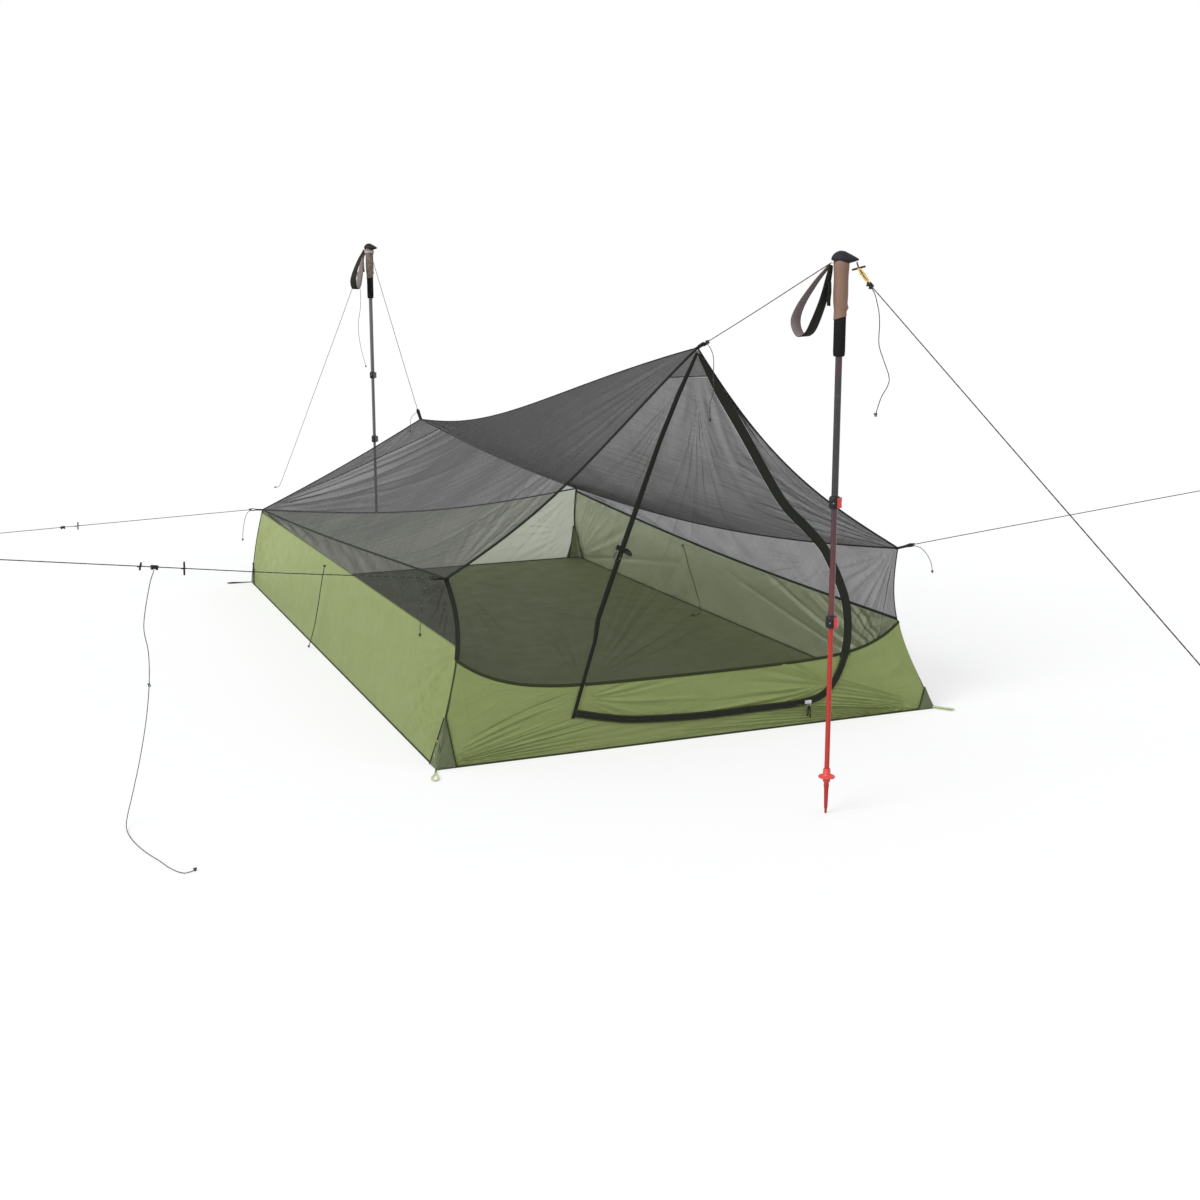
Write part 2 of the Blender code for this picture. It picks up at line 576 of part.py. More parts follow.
def make_front(seams, curves):
    olive = olive_cloth()
    net = netting()
    hinge, zip_line, turn, at_sill, hinge_sill = curves
    left_corner, right_corner = seams["left_corner"], seams["right_corner"]
    left_low = left_corner(seams["left_sill"])
    right_low = right_corner(seams["right_sill"])
    hinge_low = hinge(hinge_sill)
    zip_low = zip_line(at_sill)
    outer = chained(
        (0.2, stretch(left_corner, seams["left_sill"], SILL_FOOT)),
        (0.8, sloped(left_corner(SILL_FOOT), right_corner(SILL_FOOT))),
        (1.0, stretch(right_corner, SILL_FOOT, seams["right_sill"])),
    )
    inner = chained(
        (0.2, stretch(hinge, hinge_sill, 0)),
        (0.8, stretch(zip_line, 0, turn)),
        (1.0, stretch(zip_line, turn, at_sill)),
    )
    left_sill = sill_seam(left_low.x, hinge_low.x)
    right_sill = sill_seam(zip_low.x, right_low.x)
    mesh_right_sill = sill_seam(beside(zip_line, FLAP_ROOM, at_sill, 1)(0).x, right_low.x)
    panel("front_sill", (outer, inner, left_sill, backwards(right_sill)), (20, 3), olive, fade=0.2)

    top_left = fraction_where(seams["left_edge"], lambda q: q.z <= GUSSET_FOOT)
    top_right = fraction_where(seams["right_edge"], lambda q: q.z <= GUSSET_FOOT)
    narrow_left = fraction_where(seams["left_edge"], lambda q: q.z <= LEFT_MESH_TOP)
    narrow_right = fraction_where(seams["right_edge"], lambda q: q.z <= RIGHT_MESH_TOP)
    hinge_high = fraction_where(hinge, lambda q: q.z >= LEFT_MESH_TOP)
    hinge_gusset = fraction_where(hinge, lambda q: q.z >= GUSSET_FOOT - SEAM_GAP)
    zip_high = at_sill + (FLAP_TOP - at_sill) * (FLAP_SPANS - 1) / FLAP_SPANS

    left_outer = chained(
        (0.22, stretch(left_corner, seams["left_sill"], 1)),
        (1.0, stretch(seams["left_edge"], 1, narrow_left)),
    )
    left_inner = stretch(hinge, hinge_sill, hinge_high)
    left_top = sloped(left_outer(1), left_inner(1))
    panel("front_mesh_left", (left_sill, left_top, left_outer, left_inner), (4, 10), net)
    right_outer = chained(
        (0.22, stretch(right_corner, seams["right_sill"], 1)),
        (1.0, stretch(seams["right_edge"], 1, narrow_right)),
    )
    right_inner = beside(zip_line, FLAP_ROOM, at_sill, zip_high)
    right_top = sloped(right_inner(1), right_outer(1))
    panel("front_mesh_right", (mesh_right_sill, right_top, right_inner, right_outer), (4, FLAP_SPANS - 1),
          net, (0.0, SEAM_GAP, SEAM_GAP, SEAM_GAP))
    half_head, head_z = GUSSET_HEAD
    gusset_foot = sloped(seams["left_edge"](top_left), seams["right_edge"](top_right))
    gusset_head = sloped(on_front(-half_head, head_z), on_front(half_head, head_z))
    gusset_sides = [sloped(gusset_foot(end), gusset_head(end)) for end in (0, 1)]
    panel("peak_gusset", (gusset_foot, gusset_head, *gusset_sides), (4, 2), net)

    door_left = stretch(hinge, hinge_sill, hinge_gusset)
    door_right = beside(zip_line, -FLAP_ROOM, at_sill, FLAP_TOP)
    door_sill = sill_seam(hinge_low.x, zip_low.x)
    door_foot = sill_seam(hinge_low.x, door_right(0).x)
    panel("door_mesh", (door_foot, sloped(door_left(1), door_right(1)), door_left, door_right),
          (6, FLAP_SPANS), net, (SEAM_GAP, 0.0, SEAM_GAP, SEAM_GAP))
    panel("door_sill", (stretch(zip_line, 0, turn), door_sill, stretch(hinge, 0, hinge_sill),
                        stretch(zip_line, turn, at_sill)), (12, 4), olive)

    inner_side = beside(zip_line, -FLAP_WIDTH / 2, at_sill, FLAP_TOP)
    outer_side = beside(zip_line, FLAP_WIDTH / 2, at_sill, FLAP_TOP)
    flap_ends = [sloped(inner_side(end), outer_side(end)) for end in (0, 1)]
    panel("zip_flap", (*flap_ends, inner_side, outer_side), (1, FLAP_SPANS), webbing(),
          (0.0, 0.0, SEAM_GAP, 0.0))


def make_corner_patches(seams):
    """Reinforcing patches over the floor's corners, each with its stake loop."""
    finish = material("dark_patch", PATCH_GREEN, 0.7)
    right, back = Vector((1, 0, 0)), Vector((0, 1, 0))
    corners = (
        ("front_left", "left_corner", right, back, 0.115, Vector((-0.35, -1, 0))),
        ("front_right", "right_corner", -right, back, 0.055, Vector((0.6, -0.8, 0))),
        ("rear_left", "rear_left_corner", right, -back, 0.075, Vector((-1, 0.15, 0))),
        ("rear_right", "rear_right_corner", -right, -back, 0.110, Vector((1, 0.5, 0))),
    )
    for name, seam_name, across, along, height, pull in corners:
        corner_seam = seams[seam_name]
        corner = corner_seam(0)
        top = fraction_where(corner_seam, lambda q: q.z >= height)
        out = -(across + along).normalized() * PATCH_OUT
        shift = out + Vector((0, 0, PATCH_LIFT))
        low, high = corner + shift, corner_seam(top) + shift
        near, far = low + across * PATCH_REACH, low + along * PATCH_REACH
        foot = chained((0.5, sloped(near, low)), (1.0, sloped(low, far)))
        head = chained((0.5, sloped(high + across * PATCH_TIP, high)),
                       (1.0, sloped(high, high + along * PATCH_TIP)))
        sides = [sloped(foot(end), head(end)) for end in (0, 1)]
        patch = panel(f"{name}_corner_patch", (foot, head, *sides), (4, 2), finish, (0.0,) * 4, PATCH_CLOTH)
        reach = pull.normalized()
        middle = corner + out + reach * STAKE_LOOP[0] / 2 + Vector((0, 0, STAKE_LOOP_LIFT))
        joined_to(patch, box(f"{name}_stake_loop", STAKE_LOOP, middle, finish, facing(reach)))


# Poles


def ring_profile(outer, bore, high, low):
    return ((outer, high), (outer, low), (bore, low), (bore, high))


def loop_outline(points, offset):
    """A closed smooth outline through the points, moved outwards by an offset."""
    spots = [Vector((x, y)) for x, y in points]
    count = len(spots)
    outline = []
    for i in range(count):
        near = [spots[(i + k) % count] for k in (-1, 0, 1, 2)]
        for t in (0.0, 0.5):
            slope = smooth_slope(*near, t)
            outwards = Vector((slope.y, -slope.x)).normalized()
            outline.append(tuple(smooth_step(*near, t) + outwards * offset))
    return outline


def lever_outline():
    """A cam lever that lies round its clamp, as a crescent."""
    inner, outer = LOCK_R + 0.0012, LOCK_R + 0.0046
    steps = 10
    angles = [math.radians(LEVER_START + LEVER_SWEEP * i / steps) for i in range(steps + 1)]
    outside = [(outer * math.cos(a), outer * math.sin(a)) for a in angles]
    inside = [(inner * math.cos(a), inner * math.sin(a)) for a in reversed(angles)]
    return [*outside, *inside]


def clamped_tube(name, place, radius, bore, top, lock_z, finish):
    """A tube whose lower end is the collar of its lever clamp."""
    high, low = lock_z + LOCK_HEIGHT / 2, lock_z - LOCK_HEIGHT / 2
    turned(name, (
        (radius, top), (radius, high + LOCK_EDGE), (LOCK_R - LOCK_EDGE, high), (LOCK_R, high - LOCK_EDGE),
        (LOCK_R, low + LOCK_EDGE), (LOCK_R - LOCK_EDGE, low), (bore, low), (bore, top)), place, finish)


def make_pole(name, y, strap_turn, low_finish):
    """A three-section trekking pole, upright with its tip on the ground."""
    place = Vector((0, y, 0))
    tube = material("dark_tube", DARK_TUBE, 0.35)
    clamped_tube(f"{name}_upper_tube", place, UPPER_TUBE_R, UPPER_BORE_R, UPPER_TUBE_TOP, UPPER_LOCK_Z, tube)
    clamped_tube(f"{name}_mid_tube", place, MID_TUBE_R, MID_BORE_R, MID_TUBE_TOP, LOWER_LOCK_Z, tube)
    turned(f"{name}_lower_tube", (
        (LOWER_TUBE_R, LOWER_TUBE_TOP), (LOWER_TUBE_R, 0.062), (0.0045, 0.055), (0.0042, 0.022),
        (0.0025, 0.0), (0.0, 0.0), (0.0, TIP_TOP), (LOWER_BORE_R, TIP_TOP), (LOWER_BORE_R, LOWER_TUBE_TOP)),
        place, low_finish)
    basket_bore = LOWER_TUBE_R + 0.0004
    turned(f"{name}_basket", (
        (0.0080, BASKET_Z + 0.018), (0.0090, BASKET_Z + 0.004), (BASKET_R, BASKET_Z + 0.001),
        (BASKET_R, BASKET_Z - 0.003), (0.0085, BASKET_Z - 0.004), (0.0080, BASKET_Z - 0.012),
        (basket_bore, BASKET_Z - 0.012), (basket_bore, BASKET_Z + 0.018)),
        place, material("red_basket", BASKET_RED, 0.5))
    make_grip(name, place)
    turned(f"{name}_foam_sleeve",
           ring_profile(FOAM_R, UPPER_TUBE_R + 0.0003, GRIP_FOOT_Z - GRIP_CLEAR, FOAM_FOOT_Z), place,
           material("black_foam", BLACK, 0.9))
    for level, z in (("upper", UPPER_LOCK_Z), ("lower", LOWER_LOCK_Z)):
        turn = Matrix.Rotation(math.radians(LEVER_TURN), 4, "Z")
        flat_solid(f"{name}_{level}_lever", (lever_outline(),), LEVER_HEIGHT,
                   Matrix.Translation(place + Vector((0, 0, z))) @ turn,
                   material("red_lever", LEVER_RED, 0.4))
    turn = Matrix.Rotation(math.radians(strap_turn), 4, "Z")
    pin = Matrix.Translation(place + Vector(STRAP_SIDE))
    stand = pin @ turn @ Matrix.Rotation(math.radians(90), 4, "X")
    outlines = [loop_outline(STRAP_LOOP, side * STRAP_THICK / 2) for side in (1, -1)]
    flat_solid(f"{name}_wrist_strap", outlines, STRAP_WIDTH, stand, webbing())


def make_grip(name, place):
    """The cork grip and the rounded head on it, as one piece."""
    bore = UPPER_TUBE_R + 0.0003
    bore_top = UPPER_TUBE_TOP + 0.0004
    foot = GRIP_FOOT_Z + GRIP_CLEAR
    grip = turned(f"{name}_grip", (
        (0.0, 1.193), (0.0115, 1.190), (0.0165, 1.180), (0.0160, 1.168), (0.0145, 1.150), (0.0155, 1.120),
        (0.0150, 1.100), (0.0130, 1.083), (0.0135, foot), (bore, foot), (bore, bore_top), (0.0, bore_top)),
        place, material("cork", CORK, 0.9))
    bm = bmesh.new()
    bmesh.ops.create_uvsphere(bm, u_segments=12, v_segments=8, radius=1)
    bmesh.ops.scale(bm, vec=HEAD_RADII, verts=bm.verts)
    bmesh.ops.translate(bm, vec=(HEAD_SHIFT, 0, 0), verts=bm.verts)
    bmesh.ops.rotate(bm, matrix=Matrix.Rotation(math.radians(NOSE_TURN), 3, "Z"), verts=bm.verts)
    head_name = f"{name}_head_form"
    head = add_object(head_name, mesh_of(head_name, bm), material("black_rubber", BLACK, 0.6))
    head.location = place + Vector((0, 0, HEAD_HEIGHT))
    joined_to(grip, head)


# Tabs, line locks and cords


def strap_end(name, start, stop, section):
    """A flat sewn tab or buckle that runs from start to stop."""
    size = ((stop - start).length, *section)
    box(name, size, (start + stop) / 2, webbing(), facing(stop - start), 0.0008)


def make_tabs():
    for name, corner, route in (
        ("front_left_tab", FRONT_LEFT_TOP, FRONT_LEFT_GUY),
        ("front_right_tab", FRONT_RIGHT_TOP, FRONT_RIGHT_GUY),
        ("rear_left_tab", REAR_LEFT_TOP, REAR_LEFT_GUY),
    ):
        end = Vector(route[0])
        way = (end - corner).normalized()
        strap_end(name, corner + way * 0.006, end - way * CORD_CLEAR, TAB_SIZE)
    way = Vector((0.9, 0.35, 0)).normalized()
    strap_end("rear_right_tab", REAR_RIGHT_TOP + way * 0.006, REAR_RIGHT_TOP + way * 0.036, TAB_SIZE)
    for name, top, route in (
        ("peak_buckle", PEAK, FRONT_RIDGE_CORD),
        ("rear_peak_tab", RIDGE_END, REAR_RIDGE_CORD),
    ):
        first, second = Vector(route[0]), Vector(route[1])
        start = top + (first - top).normalized() * 0.008
        strap_end(name, start, first - (second - first).normalized() * CORD_CLEAR, BUCKLE_SIZE)


def make_line_locks():
    """Small C-shaped cleats, each with a guy line through its channel."""
    plastic = material("black_rubber", BLACK, 0.6)
    slot = GUY / 2 + 0.0008
    rim = slot + CLEAT_WALL
    channel = ((-rim, -rim), (rim, -rim), (rim, rim), (-rim, rim), (-rim, slot), (slot, slot), (slot, -slot),
               (-rim, -slot))
    for name, spot, way in (
        ("front_line_lock", (0.02305, -1.8850, 1.1359), (-0.0182, -0.8810, -0.4729)),
        ("front_left_line_lock", (-1.320, -1.2372, 0.5442), (-0.9661, -0.2047, 0.1564)),
        ("rear_left_line_lock", (-1.275, 1.3041, 0.2283), (-0.9636, 0.2566, -0.0743)),
    ):
        turn = facing(way) @ Matrix.Rotation(math.radians(90), 4, "Y")
        flat_solid(name, (channel,), CLEAT_LENGTH, Matrix.Translation(spot) @ turn, plastic)


def make_cords():
    grey = material("grey_cord", GREY_CORD, 0.7)
    for name, route, diameter, spacing in (
        ("front_ridge_cord", FRONT_RIDGE_CORD, GUY, 0.05),
        ("rear_ridge_cord", REAR_RIDGE_CORD, GUY, 0.05),
        ("front_guy", FRONT_GUY, GUY, 0.04),
        ("rear_guy", REAR_GUY, GUY, 0.05),
        ("front_left_guy", FRONT_LEFT_GUY, GUY, 0.04),
        ("front_right_guy", FRONT_RIGHT_GUY, GUY, 0.04),
        ("rear_left_guy", REAR_LEFT_GUY, GUY, 0.04),
        ("front_left_guy_tail", FRONT_LEFT_TAIL, THIN_CORD, 0.03),
        ("left_tie_cord", LEFT_TIE_CORD, THIN_CORD, 0.015),
        ("right_tie_cord", RIGHT_TIE_CORD, THIN_CORD, 0.015),
        ("rear_pole_tail", REAR_POLE_TAIL, THIN_CORD, 0.025),
        ("front_guy_tail", FRONT_GUY_TAIL, THIN_CORD, 0.025),
    ):
        cord(name, route, diameter, spacing, grey)


def make_zip_slider():
    place = on_front(SLIDER_X, SLIDER_Z) + Vector((0, *SLIDER_OFFSET))
    box("zip_slider", SLIDER_SIZE, place, material("steel", STEEL, 0.3, 1.0), None, 0.001)


def main():
    seams = canopy_seams()
    curves = front_curves(seams)
    make_floor_and_walls(seams)
    make_roof(seams)
    make_front(seams, curves)
    make_corner_patches(seams)
    make_pole("front_pole", -POLE_Y, FRONT_STRAP_TURN, material("red_tube", RED_TUBE, 0.35))
    make_pole("rear_pole", POLE_Y, REAR_STRAP_TURN, material("dark_tube", DARK_TUBE, 0.35))
    make_tabs()
    make_line_locks()
    make_cords()
    make_zip_slider()


clear_scene()
PARTS = new_collection("bug_shelter")
HELPERS = new_collection("helpers")
main()
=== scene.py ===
"""Mesh bug shelter between two trekking poles: cloth, netting, zip, cords, poles and a studio stage.

Metres, +Z up. +X is the right of the door, +Y runs from the door to the rear.
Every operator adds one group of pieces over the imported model, and main calls them in order.
"""

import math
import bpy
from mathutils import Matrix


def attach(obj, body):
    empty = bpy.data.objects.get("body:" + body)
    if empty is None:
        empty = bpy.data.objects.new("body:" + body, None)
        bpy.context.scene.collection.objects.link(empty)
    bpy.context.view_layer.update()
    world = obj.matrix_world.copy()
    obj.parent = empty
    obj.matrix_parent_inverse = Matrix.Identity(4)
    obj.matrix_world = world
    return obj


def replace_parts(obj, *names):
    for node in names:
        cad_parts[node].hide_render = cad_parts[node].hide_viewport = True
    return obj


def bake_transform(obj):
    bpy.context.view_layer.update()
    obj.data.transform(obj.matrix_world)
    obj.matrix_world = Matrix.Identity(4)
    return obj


bl_info = {
    "name": "Mesh Bug Shelter",
    "version": (1, 0, 0),
    "blender": (4, 5, 0),
    "location": "View3D > Sidebar > Shelter",
    "description": "Builds a netting shelter with its floor, door, cords and trekking poles",
    "category": "Object",
}

import bmesh
import bpy
import numpy as np
from mathutils import Matrix, Vector

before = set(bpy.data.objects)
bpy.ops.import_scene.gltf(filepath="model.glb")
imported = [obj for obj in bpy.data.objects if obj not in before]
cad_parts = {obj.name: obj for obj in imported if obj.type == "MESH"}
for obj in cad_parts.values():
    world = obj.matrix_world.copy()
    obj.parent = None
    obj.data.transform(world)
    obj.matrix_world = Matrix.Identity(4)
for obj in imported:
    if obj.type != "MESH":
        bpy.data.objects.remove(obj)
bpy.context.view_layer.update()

# Floor and canopy, as in the part
FLOOR_LENGTH = 2.38
FLOOR_FRONT_WIDTH = 1.38
FLOOR_REAR_WIDTH = 1.28
FRONT_CORNER_X = 0.627
FRONT_CORNER_Y = -1.09
FRONT_LEFT_HEIGHT = 0.437
FRONT_RIGHT_HEIGHT = 0.422
REAR_CORNER_X = 0.605
REAR_CORNER_Y = 1.125
REAR_LEFT_HEIGHT = 0.2755
REAR_RIGHT_HEIGHT = 0.284
PEAK_Y = -1.15
PEAK_HEIGHT = 0.968
RIDGE_END_Y = 1.16
RIDGE_END_HEIGHT = 0.571
LEFT_GREEN_HEIGHT = 0.275
RIGHT_GREEN_HEIGHT = 0.240
SILL_HEIGHT = 0.165
SILL_RISE = 0.088
SILL_FOOT = 0.01
WALL_MESH_TIP = 0.012
GUSSET_FOOT = 0.900
REAR_MESH_SHARE = 0.985
PATCH_REACH = 0.052
PATCH_OUT = 0.0042
CLOTH_LIFT = 0.0012
SEAM_THICKNESS = 0.0022
GUSSET_FORWARD = 0.0022
FLAP_FORWARD = 0.0028
ZIP_FORWARD = 0.0042
TAPE_THICKNESS = 0.0014

# Door: places on the front wall are (x, z)
HINGE_TOP = (0.0, 0.963)
HINGE_FOOT = (-0.338, 0.099)
ZIP_ROUTE = (
    (-0.338, 0.099), (-0.255, 0.080), (-0.175, 0.067), (-0.017, 0.058), (0.144, 0.058),
    (0.302, 0.061), (0.372, 0.087), (0.421, 0.162), (0.436, 0.244), (0.430, 0.319),
    (0.402, 0.387), (0.375, 0.441), (0.320, 0.502), (0.238, 0.582), (0.122, 0.763),
    (0.037, 0.894),
)
ZIP_TURN_X = 0.335
FLAP_HEAD = ((0.010, 0.938), (0.003, 0.955))
HINGE_BOW = ((0.0, 0.0), (0.20, 0.0085), (0.26, 0.0195), (0.75, 0.0185), (0.88, 0.0120), (1.0, 0.0))
HINGE_TAPE_SHARES = ((0, 0.72), (0.2, 0.78), (0.26, 1.0), (0.5, 1.12), (0.9, 0.95), (1, 0.62))
SLIDER_X = 0.305
SLIDER_Z = 0.061

# Poles
POLE_Y = 1.81
UPPER_TUBE_R = 0.0072
UPPER_BORE_R = 0.0067
MID_TUBE_R = 0.0063
MID_BORE_R = 0.0058
LOWER_TUBE_R = 0.0054
LOWER_BORE_R = 0.0047
UPPER_LOCK_Z = 0.685
LOWER_LOCK_Z = 0.428
LOCK_HEIGHT = 0.026
LOCK_R = 0.0125
GRIP_FOOT_Z = 1.066
FOAM_FOOT_Z = 0.989
FOAM_R = 0.0125
BASKET_Z = 0.084
NOSE_TURN = -45
LEVER_START = -62
LEVER_SWEEP = 158
LEVER_TURN = -35
LEVER_HEIGHT = 0.022
FRONT_STRAP_TURN = -73
REAR_STRAP_TURN = 48
STRAP_SIDE = Vector((-0.026, 0.008, 0))
STRAP_LOOP = (
    (-0.001, 1.174), (-0.034, 1.137), (-0.068, 1.098), (-0.086, 1.066), (-0.084, 1.043),
    (-0.069, 1.028), (-0.048, 1.036), (-0.031, 1.063), (-0.014, 1.100), (-0.004, 1.132),
    (0.0004, 1.158), (0.001, 1.174),
)

# Cords
GUY = 0.0022
THIN_CORD = 0.0018
TIE_CORD = 0.0026
FRONT_RIDGE_CORD = ((0, -1.199, 0.984), (-0.003, -1.347, 1.0317), (-0.006, -1.495, 1.0803),
                    (-0.009, -1.643, 1.1297), (-0.012, -1.7915, 1.179))
REAR_RIDGE_CORD = ((0, 1.195, 0.600), (0, 1.344, 0.7395), (0, 1.493, 0.8815), (0, 1.642, 1.0235),
                   (0, 1.7905, 1.165))
FRONT_GUY = ((0.0235, -1.8355, 1.1700), (0.0231, -1.8821, 1.1375), (0.0222, -1.9242, 1.1149),
             (0.0190, -2.0772, 1.0328), (0.0161, -2.2197, 0.9563), (0.0133, -2.3526, 0.8849),
             (0.0102, -2.5000, 0.8058), (0.0072, -2.6489, 0.7259), (0.0045, -2.7800, 0.6555),
             (0.0020, -2.9026, 0.5897), (0.0010, -2.9800, 0.5480), (0.0040, -3.0100, 0.5320),
             (0.0100, -3.0220, 0.5190), (0.0060, -3.0120, 0.5120))
REAR_GUY = ((0, 1.8295, 1.189), (-0.001, 2.0, 1.078), (-0.006, 2.3, 0.863), (-0.013, 2.6, 0.648),
            (-0.020, 2.9, 0.433), (-0.027, 3.2, 0.217), (-0.034, 3.44, 0.045), (-0.036, 3.475, 0.020),
            (-0.038, 3.505, 0.006), (-0.046, 3.528, 0.002), (-0.056, 3.520, 0.002),
            (-0.057, 3.503, 0.003))
FRONT_LEFT_GUY = ((-0.665, -1.098, 0.4435), (-0.86, -1.139, 0.472), (-1.05, -1.180, 0.5005),
                  (-1.26, -1.2245, 0.5345), (-1.345, -1.2425, 0.5483), (-1.48, -1.2711, 0.5701),
                  (-1.64, -1.305, 0.596), (-1.700, -1.318, 0.6055), (-1.730, -1.326, 0.606),
                  (-1.741, -1.333, 0.598), (-1.733, -1.331, 0.589))
FRONT_RIGHT_GUY = ((0.667, -1.0985, 0.430), (0.85, -1.137, 0.458), (1.05, -1.180, 0.488),
                   (1.25, -1.222, 0.518), (1.46, -1.267, 0.5495), (1.558, -1.288, 0.564),
                   (1.590, -1.296, 0.566), (1.602, -1.303, 0.558), (1.594, -1.302, 0.549))
REAR_LEFT_GUY = ((-0.645, 1.1355, 0.277), (-0.80, 1.177, 0.265), (-0.95, 1.217, 0.2535),
                 (-1.085, 1.2535, 0.243), (-1.235, 1.2935, 0.2315), (-1.275, 1.304, 0.2285),
                 (-1.37, 1.3295, 0.221), (-1.50, 1.364, 0.211), (-1.580, 1.3855, 0.205),
                 (-1.612, 1.394, 0.205), (-1.624, 1.402, 0.197), (-1.616, 1.401, 0.188))
FRONT_LEFT_TAIL = ((-1.3210, -1.2372, 0.5380), (-1.3330, -1.2395, 0.505), (-1.350, -1.243, 0.420),
                   (-1.343, -1.240, 0.360), (-1.346, -1.244, 0.290), (-1.358, -1.250, 0.210),
                   (-1.376, -1.256, 0.130), (-1.396, -1.268, 0.062), (-1.412, -1.288, 0.020),
                   (-1.420, -1.320, 0.004), (-1.421, -1.372, 0.0020), (-1.415, -1.430, 0.0020),
                   (-1.402, -1.492, 0.0020), (-1.385, -1.548, 0.0020), (-1.372, -1.597, 0.0020),
                   (-1.352, -1.634, 0.0020), (-1.328, -1.626, 0.0020))
LEFT_TIE_CORD = ((-0.6400, 0.07, 0.262), (-0.6465, 0.073, 0.230), (-0.6520, 0.083, 0.190),
                 (-0.6580, 0.087, 0.150), (-0.6630, 0.098, 0.110), (-0.6700, 0.105, 0.070),
                 (-0.6780, 0.118, 0.030), (-0.6840, 0.128, 0.004))
RIGHT_TIE_CORD = ((0.596, 0.160, 0.222), (0.596, 0.140, 0.200), (0.598, 0.120, 0.160),
                  (0.602, 0.095, 0.120), (0.604, 0.070, 0.080), (0.607, 0.050, 0.045),
                  (0.606, 0.045, 0.018), (0.600, 0.050, 0.0068), (0.587, 0.062, 0.0050))
REAR_POLE_TAIL = ((-0.0155, 1.838, 1.176), (-0.024, 1.875, 1.140), (-0.029, 1.895, 1.080),
                  (-0.021, 1.885, 1.020), (-0.024, 1.880, 0.950), (-0.032, 1.890, 0.880),
                  (-0.027, 1.885, 0.800), (-0.011, 1.870, 0.715))
FRONT_GUY_TAIL = ((0.0240, -1.8870, 1.1300), (0.0258, -1.8990, 1.1190), (0.0310, -1.9005, 1.1000),
                  (0.0355, -1.9016, 1.0816), (0.0373, -1.9023, 1.0555), (0.0373, -1.9023, 1.0173),
                  (0.0482, -1.9069, 0.9832), (0.0591, -1.9115, 0.9450), (0.0446, -1.9054, 0.9108),
                  (0.0355, -1.9016, 0.8766))

FRONT_LEFT = Vector((-FLOOR_FRONT_WIDTH / 2, -FLOOR_LENGTH / 2, 0))
FRONT_RIGHT = Vector((FLOOR_FRONT_WIDTH / 2, -FLOOR_LENGTH / 2, 0))
REAR_LEFT = Vector((-FLOOR_REAR_WIDTH / 2, FLOOR_LENGTH / 2, 0))
REAR_RIGHT = Vector((FLOOR_REAR_WIDTH / 2, FLOOR_LENGTH / 2, 0))
FRONT_LEFT_TOP = Vector((-FRONT_CORNER_X, FRONT_CORNER_Y, FRONT_LEFT_HEIGHT))
FRONT_RIGHT_TOP = Vector((FRONT_CORNER_X, FRONT_CORNER_Y, FRONT_RIGHT_HEIGHT))
REAR_LEFT_TOP = Vector((-REAR_CORNER_X, REAR_CORNER_Y, REAR_LEFT_HEIGHT))
REAR_RIGHT_TOP = Vector((REAR_CORNER_X, REAR_CORNER_Y, REAR_RIGHT_HEIGHT))
PEAK = Vector((0, PEAK_Y, PEAK_HEIGHT))
RIDGE_END = Vector((0, RIDGE_END_Y, RIDGE_END_HEIGHT))
MIDDLE = Vector((0, 0, 0.25))


# Settings


def colour_setting(name, description, default):
    return bpy.props.FloatVectorProperty(
        name=name, description=description, subtype="COLOR", size=3, min=0, max=1, default=default
    )


def length_setting(name, description, default):
    return bpy.props.FloatProperty(
        name=name, description=description, unit="LENGTH", subtype="DISTANCE", min=0.0001, precision=4,
        default=default,
    )


class ShelterSizes(bpy.types.PropertyGroup):
    """Thicknesses and widths of the cloth and its trimmings."""

    cloth_thickness: length_setting("Cloth thickness", "Thickness of the coated cloth", 0.0008)
    seam_width: length_setting("Seam width", "Width of the tape over an ordinary seam", 0.006)
    corner_tape_width: length_setting("Corner tape width", "Width of the front corners' seam tape", 0.013)
    hinge_tape_width: length_setting("Hinge tape width", "Width of the door's hinge tape", 0.0125)
    flap_width: length_setting("Zip flap width", "Width of the flap over the door's zip", 0.024)
    zip_tape_width: length_setting("Zip tape width", "Width of each half of the zip's tape", 0.0055)
    strap_width: length_setting("Wrist strap width", "Width of the poles' wrist straps", 0.027)


